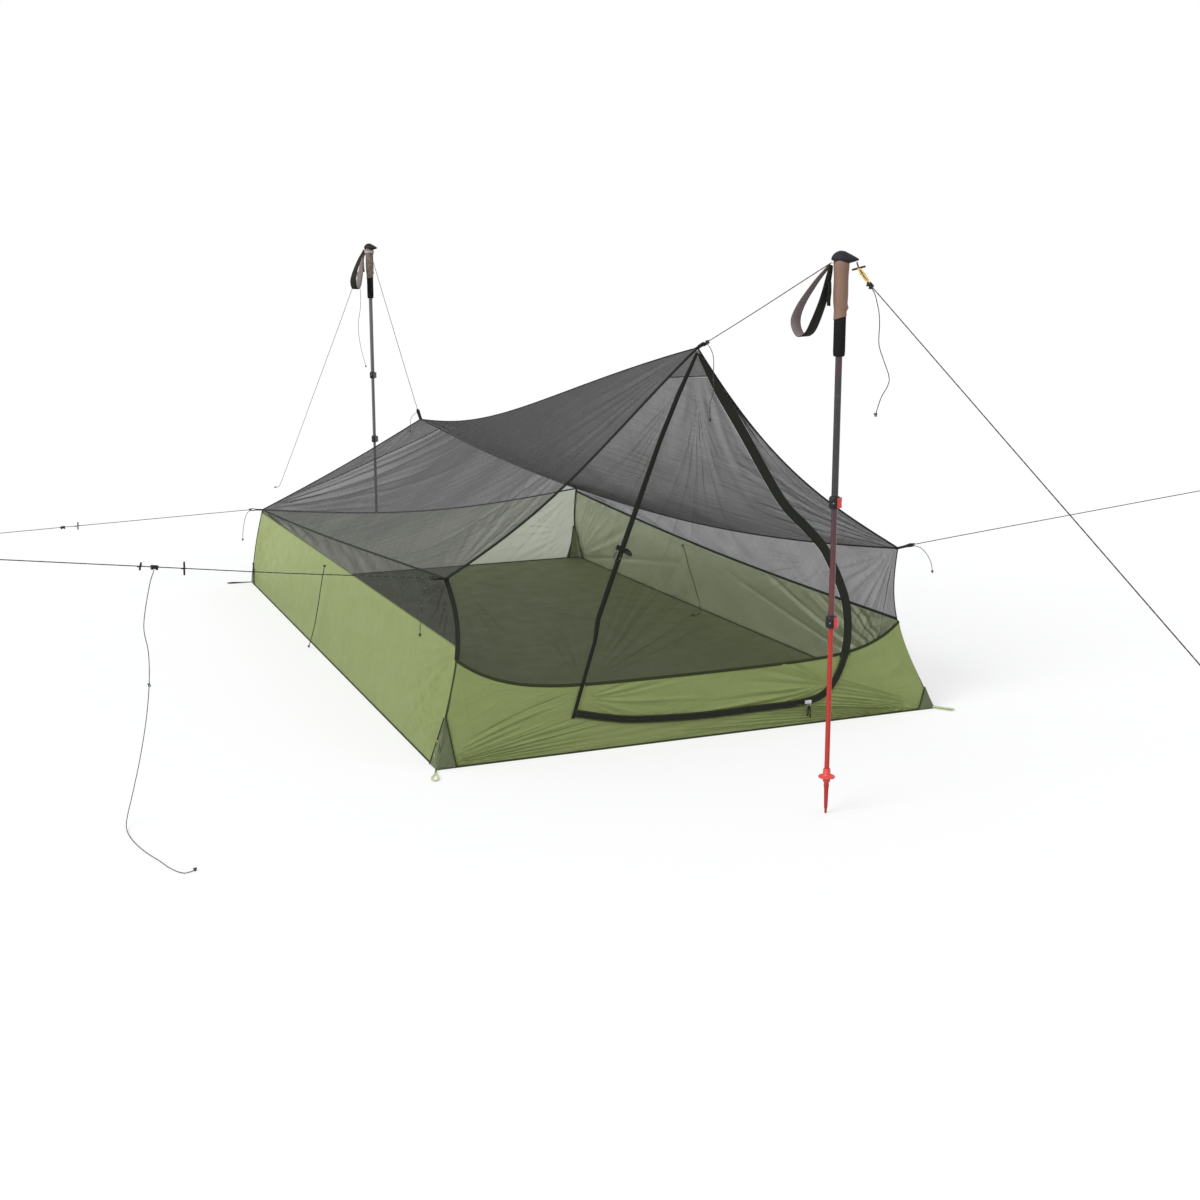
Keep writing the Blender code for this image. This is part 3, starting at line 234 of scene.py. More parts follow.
class ShelterColours(bpy.types.PropertyGroup):
    """Colours of the cloth, the netting and the hardware."""

    cloth: colour_setting("Green cloth", "Coated cloth of the floor and walls", (0.340, 0.405, 0.158))
    netting: colour_setting("Netting", "Threads of the grey netting", (0.048, 0.048, 0.049))
    patch: colour_setting("Corner patch", "Reinforced corner patches", (0.120, 0.140, 0.072))
    tape: colour_setting("Seam tape", "Black seam tape and webbing", (0.0190, 0.0205, 0.0160))
    hem: colour_setting("Hem", "Dark green tape of the hems and seams", (0.038, 0.048, 0.020))
    cord: colour_setting("Cord", "Guy lines and tie cords", (0.022, 0.023, 0.022))
    loop: colour_setting("Bright loop", "The short yellow cord on the front guy line", (0.80, 0.47, 0.10))
    stake_loop: colour_setting("Stake loop", "Pale green stake loops", (0.62, 0.68, 0.40))
    lining: colour_setting("Strap lining", "Soft inner face of the wrist straps", (0.270, 0.225, 0.215))
    rubber: colour_setting("Rubber", "Heads of the pole grips", (0.022, 0.018, 0.024))
    plastic: colour_setting("Black plastic", "Clamps, cleats, toggles and buckles", (0.014, 0.014, 0.016))
    cork: colour_setting("Cork", "Cork of the pole grips", (0.345, 0.170, 0.078))
    pale_cork: colour_setting("Pale cork", "Cork of the rear pole's grip", (0.330, 0.275, 0.240))
    foam: colour_setting("Foam", "Foam sleeves under the grips", (0.013, 0.012, 0.012))
    tube: colour_setting("Dark tube", "Upper and middle tubes of the poles", (0.042, 0.039, 0.040))
    rear_tube: colour_setting("Rear tube", "Tubes of the rear pole", (0.150, 0.147, 0.148))
    purple: colour_setting("Purple lacquer", "Tops of the upper and middle tubes", (0.074, 0.034, 0.044))
    red_brown: colour_setting("Red-brown lacquer", "Foot of the middle tube", (0.150, 0.036, 0.036))
    brown_tip: colour_setting("Tip plastic", "Brownish plastic of the poles' tips", (0.17, 0.035, 0.025))
    worn_tip: colour_setting("Worn tip", "Carbide end of the poles' tips", (0.16, 0.15, 0.15))
    low_tube: colour_setting("Red tube", "Lower tube of the front pole", (0.38, 0.030, 0.020))
    lever: colour_setting("Lever", "Levers of the front pole's clamps", (0.66, 0.035, 0.035))
    rear_lever: colour_setting("Rear lever", "Levers of the rear pole's clamps", (0.115, 0.075, 0.085))
    basket: colour_setting("Basket", "Baskets near the poles' tips", (0.74, 0.075, 0.065))
    steel: colour_setting("Steel", "Zip slider, pins and tips", (0.58, 0.58, 0.57))


def sizes():
    return bpy.context.scene.shelter_sizes


def colours():
    return bpy.context.scene.shelter_colours


# Curves: each is a function of t from 0 to 1


def seam(start, end, sag=(0, 0, 0), skew=1.0):
    pull = Vector(sag)
    return lambda t: start.lerp(end, t) + pull * math.sin(math.pi * t**skew)


def sloped(start, end):
    return lambda t: start.lerp(end, t)


def stretch(curve, first, last):
    return lambda t: curve(first + (last - first) * t)


def backwards(curve):
    return lambda t: curve(1 - t)


def moved(curve, way):
    shift = Vector(way)
    return lambda t: curve(t) + shift


def chained(*pieces):
    """One curve from (end, curve) pieces, each running up to its own end."""

    def at(t):
        begin = 0.0
        for end, curve in pieces:
            if t <= end or end == pieces[-1][0]:
                return curve((t - begin) / (end - begin))
            begin = end

    return at


def smooth_step(a, b, c, d, t):
    """The point at t between b and c, on the Catmull-Rom curve through all four."""
    bend = 2 * a - 5 * b + 4 * c - d
    twist = 3 * b - a - 3 * c + d
    return 0.5 * (2 * b + (c - a) * t + bend * t**2 + twist * t**3)


def smooth_samples(points, per_span=8):
    """A Catmull-Rom curve through the points, sampled."""
    ends = [2 * points[0] - points[1], *points, 2 * points[-1] - points[-2]]
    samples = []
    for a, b, c, d in zip(ends, ends[1:], ends[2:], ends[3:]):
        samples += [smooth_step(a, b, c, d, step / per_span) for step in range(per_span)]
    return [*samples, points[-1]]


def even_curve(points):
    """A smooth curve through the points, with t in step with its length."""
    samples = smooth_samples([Vector(point) for point in points])
    run = [0.0]
    for a, b in zip(samples, samples[1:]):
        run.append(run[-1] + (b - a).length)

    def at(t):
        want = min(max(t, 0.0), 1.0) * run[-1]
        for i in range(1, len(run)):
            if run[i] >= want:
                return samples[i - 1].lerp(samples[i], (want - run[i - 1]) / (run[i] - run[i - 1]))
        return samples[-1]

    at.length = run[-1]
    return at


def fraction_where(curve, test, steps=400):
    """The first t at which the curve passes the test."""
    for step in range(steps + 1):
        if test(curve(step / steps)):
            return step / steps
    return 1.0


def along(curve, count):
    """Points of a curve at even steps of t, as an array."""
    return np.array([curve(step / count) for step in range(count + 1)])


# The front wall's surface and the canopy's seams


def front_y(x, z):
    middle = -FLOOR_LENGTH / 2 + 0.04 * z / PEAK_HEIGHT
    corner = (FRONT_LEFT_HEIGHT + FRONT_RIGHT_HEIGHT) / 2
    if z < corner:
        half = FRONT_RIGHT.x + (FRONT_CORNER_X - FRONT_RIGHT.x) * z / corner
        side = FRONT_RIGHT.y + (FRONT_CORNER_Y - FRONT_RIGHT.y) * z / corner
    else:
        up = (z - corner) / (PEAK_HEIGHT - corner)
        half = max(FRONT_CORNER_X * (1 - up), 0.02)
        side = FRONT_CORNER_Y + (PEAK_Y - FRONT_CORNER_Y) * up
    return middle + (side - middle) * min(abs(x) / half, 1.0) ** 2


def on_front(x, z):
    return Vector((x, front_y(x, z), z))


def sill_height(x):
    """The green sill's top edge, which turns up towards both corners."""
    return SILL_HEIGHT + SILL_RISE * (abs(x) / FRONT_CORNER_X) ** 6


def sill_seam(from_x, to_x):
    def at(t):
        x = from_x + (to_x - from_x) * t
        return on_front(x, sill_height(x))

    return at


def beside(curve, offset, first, last):
    """The stretch of a curve from first to last, moved sideways in the front wall by offset(t)."""

    def at(t):
        here = first + (last - first) * t
        ahead = curve(here + 0.004) - curve(here - 0.004)
        across = Vector((ahead.z, 0, -ahead.x)).normalized()
        return curve(here) + across * (offset(here) if callable(offset) else offset)

    return at


def canopy_seams():
    left_corner = seam(FRONT_LEFT, FRONT_LEFT_TOP, (0.037, 0, 0), 1.5)
    right_corner = seam(FRONT_RIGHT, FRONT_RIGHT_TOP, (-0.050, 0, 0), 1.2)
    left_cut = fraction_where(left_corner, lambda q: q.z >= LEFT_GREEN_HEIGHT)
    right_cut = fraction_where(right_corner, lambda q: q.z >= RIGHT_GREEN_HEIGHT)
    left_sill = fraction_where(left_corner, lambda q: q.z >= sill_height(q.x))
    right_sill = fraction_where(right_corner, lambda q: q.z >= sill_height(q.x))
    left_edge = seam(PEAK, FRONT_LEFT_TOP, (0.018, 0, -0.024), 1.4)
    right_edge = seam(PEAK, FRONT_RIGHT_TOP, (-0.031, 0, -0.042), 0.95)
    tip = Vector((0, 0, WALL_MESH_TIP))
    return {
        "left_corner": left_corner,
        "right_corner": right_corner,
        "left_cut": left_cut,
        "right_cut": right_cut,
        "left_sill": left_sill,
        "right_sill": right_sill,
        "left_low": left_corner(left_sill),
        "right_low": right_corner(right_sill),
        "left_high": fraction_where(left_edge, lambda q: q.z <= GUSSET_FOOT),
        "right_high": fraction_where(right_edge, lambda q: q.z <= GUSSET_FOOT),
        "ridge": seam(PEAK, RIDGE_END, (0, 0, -0.049), 1.65),
        "left_edge": left_edge,
        "right_edge": right_edge,
        "left_eave": seam(FRONT_LEFT_TOP, REAR_LEFT_TOP, (0, 0, -0.008), 1.3),
        "right_eave": seam(FRONT_RIGHT_TOP, REAR_RIGHT_TOP, (-0.010, 0, -0.040), 0.9),
        "rear_left_edge": seam(REAR_LEFT_TOP, RIDGE_END, (0, 0, -0.008)),
        "rear_right_edge": seam(REAR_RIGHT_TOP, RIDGE_END, (0, 0, -0.014)),
        "left_green": seam(left_corner(left_cut), REAR_LEFT_TOP - tip),
        "right_green": seam(right_corner(right_cut), REAR_RIGHT_TOP - tip, (0, 0, -0.018)),
        "rear_green": seam(REAR_LEFT_TOP, REAR_RIGHT_TOP, (0, 0, -0.045)),
        "rear_left_corner": seam(REAR_LEFT, REAR_LEFT_TOP, (-0.006, 0, 0)),
        "rear_right_corner": seam(REAR_RIGHT, REAR_RIGHT_TOP, (-0.012, 0, 0)),
    }


def front_curves():
    """The door's own curves on the front wall, and where they pass the sill."""
    axis = sloped(on_front(*HINGE_FOOT), on_front(*HINGE_TOP))
    zip_line = even_curve([on_front(x, z) for x, z in ZIP_ROUTE])
    sill_pass = fraction_where(zip_line, lambda q: q.x > ZIP_TURN_X and q.z >= sill_height(q.x))
    flap_start = sill_pass - 0.01
    covered = [zip_line(flap_start + (0.97 - flap_start) * step / 16) for step in range(17)]
    ends, bows = zip(*HINGE_BOW)

    def hinge(t):
        """The sewn side, which the cloth pulls a little to the left of the hinge's axis."""
        place = axis(t)
        return on_front(place.x - float(np.interp(t, ends, bows)), place.z)

    hinge_sill = fraction_where(hinge, lambda q: q.z >= sill_height(q.x))
    flap = even_curve([*covered, *(on_front(x, z) for x, z in FLAP_HEAD)])
    return {
        "axis": axis,
        "hinge": hinge,
        "zip": zip_line,
        "flap": flap,
        "turn": fraction_where(zip_line, lambda q: q.x >= ZIP_TURN_X),
        "at_sill": sill_pass,
        "hinge_sill": hinge_sill,
        "hinge_low": hinge(hinge_sill),
        "zip_low": zip_line(sill_pass),
        "flap_high": fraction_where(flap, lambda q: q.z >= GUSSET_FOOT),
    }


def flap_half(t):
    """Half the zip flap's width, which narrows towards the peak."""
    return sizes().flap_width / 2 * min(1.0, 0.30 + (1 - t) / 0.16)


SEAMS = canopy_seams()
DOOR = front_curves()


# Meshes


def mesh_of(name, bm):
    mesh = bpy.data.meshes.new(name)
    bm.to_mesh(mesh)
    bm.free()
    return mesh


def piece(name, shape, finish, body="root", angle=40):
    """Links a bmesh or mesh as a piece that rides on a body and takes its finish's slot."""
    mesh = mesh_of(name, shape) if isinstance(shape, bmesh.types.BMesh) else shape
    mesh.materials.append(material(finish))
    mesh.shade_smooth()
    mesh.set_sharp_from_angle(angle=math.radians(angle))
    obj = bpy.data.objects.new(name, mesh)
    bpy.context.scene.collection.objects.link(obj)
    if body:
        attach(obj, body)
    return obj


def thickened(obj, thickness, offset=-1.0):
    shell = obj.modifiers.new("thickness", "SOLIDIFY")
    shell.thickness = thickness
    shell.offset = offset
    return obj


def softened(obj, width, segments=2):
    edge = obj.modifiers.new("rounded edges", "BEVEL")
    edge.width = width
    edge.segments = segments
    edge.limit_method = "ANGLE"
    edge.angle_limit = math.radians(35)
    edge.harden_normals = False
    return obj


def grid_bmesh(across, up):
    bm = bmesh.new()
    bm.loops.layers.uv.new("cloth")
    bmesh.ops.create_grid(bm, x_segments=across, y_segments=up, size=0.5, calc_uvs=True)
    return bm


def row_lengths(rows):
    return np.linalg.norm(np.diff(rows, axis=1), axis=2).sum(axis=1)


def grid_mesh(name, rows):
    """A sheet from rows of points, with UVs in metres."""
    up, across = rows.shape[0] - 1, rows.shape[1] - 1
    mesh = mesh_of(name, grid_bmesh(across, up))
    places = np.empty(len(mesh.vertices) * 3, np.float32)
    mesh.vertices.foreach_get("co", places)
    places = places.reshape(-1, 3)
    i = np.rint((places[:, 0] + 0.5) * across).astype(int)
    j = np.rint((places[:, 1] + 0.5) * up).astype(int)
    mesh.vertices.foreach_set("co", rows[j, i].astype(np.float32).ravel())
    layer = mesh.uv_layers["cloth"].uv
    uv = np.empty(len(layer) * 2, np.float32)
    layer.foreach_get("vector", uv)
    uv = uv.reshape(-1, 2) * (row_lengths(rows).mean(), row_lengths(rows.transpose(1, 0, 2)).mean())
    layer.foreach_set("vector", uv.astype(np.float32).ravel())
    mesh.update()
    return mesh


def unit(arrays):
    return arrays / np.maximum(np.linalg.norm(arrays, axis=-1, keepdims=True), 1e-9)


def coons(edges, spans, fade=1.0):
    """Rows of points over four edge curves: foot and head run from left to right, the sides upwards."""
    foot, head, left, right = edges
    across, up = spans
    low, high = along(foot, across)[None], along(head, across)[None]
    left, right = along(left, up)[:, None], along(right, up)[:, None]
    u = np.linspace(0, 1, across + 1)[None, :, None]
    v = np.linspace(0, 1, up + 1)[:, None, None]
    between = low * (1 - v) + high * v
    bow_left, bow_right = left - between[:, :1], right - between[:, -1:]
    return between + bow_left * np.maximum(1 - u / fade, 0) + bow_right * np.maximum(1 - (1 - u) / fade, 0)


def facing_out(rows):
    """Unit normals of the rows, turned away from the middle of the shelter."""
    normals = unit(np.cross(np.gradient(rows, axis=1), np.gradient(rows, axis=0)))
    side = np.sum(normals * (rows - np.array(MIDDLE)), axis=2)
    return normals * (1 if side.mean() > 0 else -1)


def panel_places(rows):
    """Distances in metres across and up the panel, from its lower left corner."""
    wide = row_lengths(rows).max()
    tall = row_lengths(rows.transpose(1, 0, 2)).max()
    u = np.linspace(0, 1, rows.shape[1])[None, :]
    v = np.linspace(0, 1, rows.shape[0])[:, None]
    return wide, tall, u, v


def crease_heights(rows, fans, folds):
    """Heights of the creases over a panel.

    A fold is (u, v, u, v, width, height). A fan is (u, v, first angle, last angle, count, reach, width,
    height, seed): creases that spread from a corner, in turn up and down.
    """
    wide, tall, u, v = panel_places(rows)
    lines = [(a * wide, b * tall, c * wide, d * tall, width, height) for a, b, c, d, width, height in folds]
    for a, b, first, last, count, reach, width, height, seed in fans:
        chance = np.random.default_rng(seed)
        for k in range(count):
            angle = math.radians(first + (last - first) * (k + chance.uniform(0.1, 0.9)) / count)
            start = reach * chance.uniform(0.02, 0.12)
            stop = reach * chance.uniform(0.45, 1.0)
            x, y = a * wide, b * tall
            lines.append((x + start * math.cos(angle), y + start * math.sin(angle),
                          x + stop * math.cos(angle), y + stop * math.sin(angle),
                          width * chance.uniform(0.6, 1.5), height * chance.uniform(0.5, 1.2) * (-1) ** k))
    total = np.zeros(rows.shape[:2])
    for x0, y0, x1, y1, width, height in lines:
        dx, dy = x1 - x0, y1 - y0
        t = np.clip(((u * wide - x0) * dx + (v * tall - y0) * dy) / (dx * dx + dy * dy), 0, 1)
        away = np.hypot(u * wide - x0 - t * dx, v * tall - y0 - t * dy) / (width * (0.55 + 0.9 * t))
        rise = np.sin(np.pi * np.clip(t, 0.001, 0.999) ** 0.7) ** 0.6
        total += height * np.clip(1 - away, 0, None) ** 2 * rise
    edge = np.minimum(np.minimum(u, 1 - u) * wide, np.minimum(v, 1 - v) * tall)
    return total * np.clip(edge / 0.022, 0, 1)


def ripples(rows, length, height, seed):
    """Soft unevenness: a few waves in different directions."""
    wide, tall, u, v = panel_places(rows)
    chance = np.random.default_rng(seed)
    total = np.zeros(rows.shape[:2])
    for _ in range(7):
        angle = chance.uniform(0, math.pi)
        span = length * chance.uniform(0.6, 1.7)
        turn = 2 * math.pi * (u * wide * math.cos(angle) + v * tall * math.sin(angle)) / span
        total += np.sin(turn + chance.uniform(0, 6.28)) * chance.uniform(0.4, 1.0)
    edge = np.minimum(np.minimum(u, 1 - u) * wide, np.minimum(v, 1 - v) * tall)
    return total * height / 3 * np.clip(edge / 0.06, 0, 1)


def cut_size(rows):
    """Width and length of the smallest rectangle that the panel is cut from."""
    wide, tall, _, _ = panel_places(rows)
    across = unit(rows[0, -1] - rows[0, 0])
    normal = unit(facing_out(rows).mean(axis=(0, 1)))
    up = unit(np.cross(normal, across))
    spread = [float(np.ptp(rows @ way)) for way in (np.cross(up, normal), up)]
    return min(((float(wide), float(tall)), tuple(spread)), key=lambda pair: pair[0] * pair[1])


def fabric(name, node, edges, spans, finish, fans=(), folds=(), soft=(0.2, 0.0015, 1), sag=0.0, body="root",
           thickness=0.0, fade=1.0, grounded=False):
    """A sewn panel: seam to seam, with its creases."""
    rows = coons(edges, spans, fade)
    _, _, u, v = panel_places(rows)
    normals = facing_out(rows)
    heights = crease_heights(rows, fans, folds) + ripples(rows, *soft)
    heights = heights - sag * np.sin(np.pi * u) * np.sin(np.pi * v)
    if grounded:
        normals = np.broadcast_to(np.array((0.0, 0.0, 1.0)), rows.shape)
        heights = np.abs(heights)
    mesh = grid_mesh(name, rows + normals * heights[..., None])
    first = mesh.polygons[len(mesh.polygons) // 2]
    if first.normal.dot(first.center - MIDDLE) < 0:
        mesh.flip_normals()
    obj = piece(name, mesh, finish, body, angle=180)
    if thickness:
        thickened(obj, thickness)
    flat = cut_size(rows)
    if node:
        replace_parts(obj, node)
    return obj


def carried(ways):
    """One direction square to each way, carried along without turning."""
    start = Vector(ways[0])
    up = Vector((0, 0, 1)) if abs(start.z) < 0.9 else Vector((1, 0, 0))
    turns = []
    for way in ways:
        way = Vector(way)
        up = (up - way * up.dot(way)).normalized()
        turns.append(tuple(up))
    return np.array(turns)


def swept_bmesh(points, section, out=None, scale=None, lined=()):
    """A closed solid: a section of (side, out) points run along a path, with UVs in metres."""
    points = np.array(points, float)
    ways = unit(np.gradient(points, axis=0))
    out = carried(ways) if out is None else np.broadcast_to(np.array(out, float), points.shape)
    side = unit(np.cross(ways, out))
    out = np.cross(side, ways)
    scale = np.ones(len(points)) if scale is None else np.array(scale, float)
    count = len(section)
    around = [(*section, section[0])[j] for j in range(count + 1)]
    bm = grid_bmesh(len(points) - 1, count)
    layer = bm.loops.layers.uv["cloth"]
    lengths = np.concatenate(([0], np.cumsum(np.linalg.norm(np.diff(points, axis=0), axis=1))))
    girth = [0.0]
    for a, b in zip(around, around[1:]):
        girth.append(girth[-1] + math.dist(a, b))
    for face in bm.faces:
        row = int((face.calc_center_median().y + 0.5) * count)
        face.material_index = 1 if row in lined else 0
        for loop in face.loops:
            i = round((loop.vert.co.x + 0.5) * (len(points) - 1))
            j = round((loop.vert.co.y + 0.5) * count)
            loop[layer].uv = (lengths[i], girth[j])
    for vert in bm.verts:
        i = round((vert.co.x + 0.5) * (len(points) - 1))
        j = round((vert.co.y + 0.5) * count)
        a, b = around[j]
        vert.co = points[i] + (side[i] * a + out[i] * b) * scale[i]
    bmesh.ops.remove_doubles(bm, verts=bm.verts, dist=0.000002)
    bmesh.ops.holes_fill(bm, edges=[edge for edge in bm.edges if edge.is_boundary], sides=0)
    bmesh.ops.recalc_face_normals(bm, faces=bm.faces)
    return bm


def round_section(diameter, count=8):
    turns = [2 * math.pi * k / count for k in range(count)]
    return [(diameter / 2 * math.cos(a), diameter / 2 * math.sin(a)) for a in turns]


def flat_section(width, thickness):
    w, t = width / 2, thickness / 2
    return [(-w, -t * 0.4), (-w * 0.94, -t), (0, -t), (w * 0.94, -t), (w, -t * 0.4), (w, t * 0.4),
            (w * 0.94, t), (0, t), (-w * 0.94, t), (-w, t * 0.4)]


def strand(name, points, per_span, section, finish, body="root", angle=40, **shape):
    """A piece swept along a smooth curve through the points."""
    return piece(name, swept_bmesh(smooth_samples(points, per_span), section, **shape), finish, body, angle)


def binding(name, curve, width, thickness, out, finish="seam_tape", body="root", count=60):
    """A strip of tape sewn along a seam."""
    points = along(curve, count)
    return piece(name, swept_bmesh(points, flat_section(width, thickness), out), finish, body, 50)


def turned_bmesh(profile, steps=32, place=(0, 0, 0)):
    """A closed solid of revolution about a vertical axis, from (radius, height) points down its outside."""
    bm = bmesh.new()
    verts = [bm.verts.new((r, 0, z)) for r, z in profile]
    edges = [bm.edges.new(pair) for pair in zip(verts, verts[1:])]
    if profile[0][0] > 0 or profile[-1][0] > 0:
        edges.append(bm.edges.new((verts[-1], verts[0])))
    bmesh.ops.spin(bm, geom=[*verts, *edges], cent=(0, 0, 0), axis=(0, 0, 1), angle=2 * math.pi,
                   steps=steps, use_merge=True)
    bmesh.ops.remove_doubles(bm, verts=bm.verts, dist=0.00001)
    bmesh.ops.recalc_face_normals(bm, faces=bm.faces)
    bmesh.ops.translate(bm, vec=place, verts=bm.verts)
    return bm


def rounded_profile(points, per_span=4):
    return [(max(q.x, 0.0), q.y) for q in smooth_samples([Vector(point) for point in points], per_span)]


def add_block(bm, size, matrix, bevel=0.0, segments=2):
    """Adds a box with rounded edges."""
    scale = Matrix.Diagonal((*size, 1))
    verts = bmesh.ops.create_cube(bm, size=1, matrix=matrix @ scale)["verts"]
    if bevel:
        edges = list({edge for vert in verts for edge in vert.link_edges})
        bmesh.ops.bevel(bm, geom=edges, offset=bevel, segments=segments, profile=0.5, affect="EDGES",
                        material=-1)


def add_disc(bm, radius, depth, matrix, steps=20):
    """Adds a short round bar along the matrix's Z."""
    made = bmesh.ops.create_cone(bm, cap_ends=True, segments=steps, radius1=radius, radius2=radius,
                                 depth=depth, matrix=matrix)
    rims = [edge for edge in {e for v in made["verts"] for e in v.link_edges} if len(edge.link_faces) == 2
            and max(len(face.verts) for face in edge.link_faces) > 4]
    bmesh.ops.bevel(bm, geom=rims, offset=min(radius, depth) * 0.18, segments=2, profile=0.5,
                    affect="EDGES", material=-1)


def plate_bmesh(outline, height, matrix):
    """A flat outline given a height, centred on its plane, and placed by a matrix."""
    bm = bmesh.new()
    face = bm.faces.new([bm.verts.new((x, y, -height / 2)) for x, y in outline])
    raised = bmesh.ops.extrude_face_region(bm, geom=[face])["geom"]
    top = [made for made in raised if isinstance(made, bmesh.types.BMVert)]
    bmesh.ops.translate(bm, vec=(0, 0, height), verts=top)
    bmesh.ops.recalc_face_normals(bm, faces=bm.faces)
    bmesh.ops.transform(bm, matrix=matrix, verts=bm.verts)
    return bm


def facing(way, up=Vector((0, 0, 1))):
    """A turn that takes +X to a direction, with +Z as near to up as it can be."""
    x = Vector(way).normalized()
    y = up.cross(x).normalized()
    return Matrix((x, y, x.cross(y))).transposed().to_4x4()


# Shader nodes


class Wiring:
    """Adds nodes to one tree, left to right, and joins them."""

    def __init__(self, tree):
        self.tree = tree

    def fill(self, node, values):
        """Sets a node's inputs to numbers, colours or the outputs of other nodes."""
        for key, value in values.items():
            if isinstance(value, bpy.types.NodeSocket):
                self.tree.links.new(value, node.inputs[key])
            else:
                node.inputs[key].default_value = value
        return node

    def add(self, kind, values=None, **settings):
        node = self.tree.nodes.new(kind)
        node.location = (190 * (len(self.tree.nodes) % 12), -260 * (len(self.tree.nodes) // 12))
        for key, value in settings.items():
            setattr(node, key, value)
        return self.fill(node, values or {})

    def math(self, operation, a, b=0.0, clamp=False):
        return self.add("ShaderNodeMath", {0: a, 1: b}, operation=operation, use_clamp=clamp).outputs[0]

    def plus(self, a, b, clamp=False):
        return self.math("ADD", a, b, clamp)

    def minus(self, a, b, clamp=False):
        return self.math("SUBTRACT", a, b, clamp)

    def times(self, a, b):
        return self.math("MULTIPLY", a, b)

    def wave(self, value):
        return self.math("SINE", value)

    def axes(self, place):
        """The three coordinates of a place."""
        return self.add("ShaderNodeSeparateXYZ", {0: place}).outputs

    def blend(self, share, a, b):
        """Mixes two colours."""
        return self.add("ShaderNodeMix", {0: share, 6: a, 7: b}, data_type="RGBA").outputs[2]

    def between(self, value, low, high, to_low=0.0, to_high=1.0):
        return self.add("ShaderNodeMapRange", {"Value": value, "From Min": low, "From Max": high,
                                               "To Min": to_low, "To Max": to_high},
                        interpolation_type="SMOOTHSTEP").outputs["Result"]

    def noise(self, place, scale, detail=3.0, roughness=0.55):
        return self.add("ShaderNodeTexNoise", {"Vector": place, "Scale": scale, "Detail": detail,
                                               "Roughness": roughness}).outputs[0]

    def streaks(self, place, turn, long, wide, shift=0.0, detail=3.0):
        """Noise stretched to a length and a width in metres, and turned."""
        node = self.add("ShaderNodeMapping", {"Vector": place, "Location": (shift, shift, 0),
                                              "Rotation": (0, 0, turn), "Scale": (long, wide, 1.0)},
                        vector_type="TEXTURE")
        return self.noise(node.outputs[0], 1.0, detail)

    def cells(self, place, scale, feature="F1"):
        return self.add("ShaderNodeTexVoronoi", {"Vector": place, "Scale": scale},
                        feature=feature).outputs["Distance"]

    def group(self, name, **values):
        labels = {label.capitalize(): value for label, value in values.items()}
        return self.add("ShaderNodeGroup", labels, node_tree=bpy.data.node_groups[name])

    def bump(self, height, distance, under=None):
        values = {"Height": height, "Distance": distance, "Strength": 1.0}
        if under is not None:
            values["Normal"] = under
        return self.add("ShaderNodeBump", values).outputs[0]

    def cloth_uv(self):
        return self.add("ShaderNodeUVMap", uv_map="cloth").outputs["UV"]

    def object_place(self):
        return self.add("ShaderNodeTexCoord").outputs["Object"]


def new_group(name, inputs, outputs):
    """A shader group with named sockets; returns its wiring, its input node and its output node."""
    tree = bpy.data.node_groups.new(name, "ShaderNodeTree")
    for label, kind, default in inputs:
        tree.interface.new_socket(label, in_out="INPUT", socket_type=kind).default_value = default
    for label, kind in outputs:
        tree.interface.new_socket(label, in_out="OUTPUT", socket_type=kind)
    wiring = Wiring(tree)
    return wiring, wiring.add("NodeGroupInput"), wiring.add("NodeGroupOutput")


FLOAT, COLOUR, VECTOR = "NodeSocketFloat", "NodeSocketColor", "NodeSocketVector"


def make_weave_group():
    """Threads of woven cloth on metric UVs."""
    w, start, end = new_group("woven threads", (
        ("Place", VECTOR, (0, 0, 0)), ("Colour", COLOUR, (0.3, 0.3, 0.3, 1)), ("Threads", FLOAT, 900.0),
        ("Contrast", FLOAT, 0.12)), (("Colour", COLOUR), ("Height", FLOAT)))
    along_it, across_it, _ = w.axes(start.outputs["Place"])
    turn = w.times(start.outputs["Threads"], math.pi)
    warp = w.wave(w.times(along_it, turn))
    weft = w.wave(w.times(across_it, turn))
    height = w.between(w.times(warp, weft), -1, 1)
    slub = w.noise(start.outputs["Place"], 22.0, 4.0)
    tone = w.times(w.minus(height, 0.5), start.outputs["Contrast"])
    tone = w.plus(tone, w.times(w.minus(slub, 0.5), 0.22))
    value = w.add("ShaderNodeHueSaturation", {"Value": w.plus(tone, 1.0), "Color": start.outputs["Colour"]})
    w.fill(end, {"Colour": value.outputs["Color"], "Height": height})


def make_crease_group():
    """Packing creases: thin, nearly straight ridges that run several ways and fade in and out."""
    w, start, end = new_group("packing creases", (
        ("Place", VECTOR, (0, 0, 0)), ("Size", FLOAT, 1.0)), (("Height", FLOAT), ("Lines", FLOAT)))
    zoom = {0: start.outputs["Place"], "Scale": w.math("DIVIDE", 1.0, start.outputs["Size"])}
    place = w.add("ShaderNodeVectorMath", zoom, operation="SCALE").outputs[0]
    lines = 0.0
    for turn, long, wide, shift in ((0.30, 0.42, 0.050, 0.0), (-0.62, 0.36, 0.042, 3.7),
                                    (1.40, 0.30, 0.048, 8.1), (-1.15, 0.34, 0.040, 5.5)):
        field = w.streaks(place, turn, long, wide, shift, 1.0)
        ridge = w.between(w.math("ABSOLUTE", w.minus(field, 0.5)), 0.0, 0.035, 1.0, 0.0)
        shown = w.between(w.streaks(place, turn, 0.30, 0.16, shift + 20, 1.0), 0.48, 0.62)
        lines = w.plus(lines, w.times(ridge, shown))
    soft = w.plus(w.streaks(place, 0.5, 0.16, 0.045, 2.0), w.streaks(place, -0.9, 0.13, 0.035, 6.0))
    w.fill(end, {"Height": w.plus(lines, w.times(soft, 1.2)), "Lines": lines})


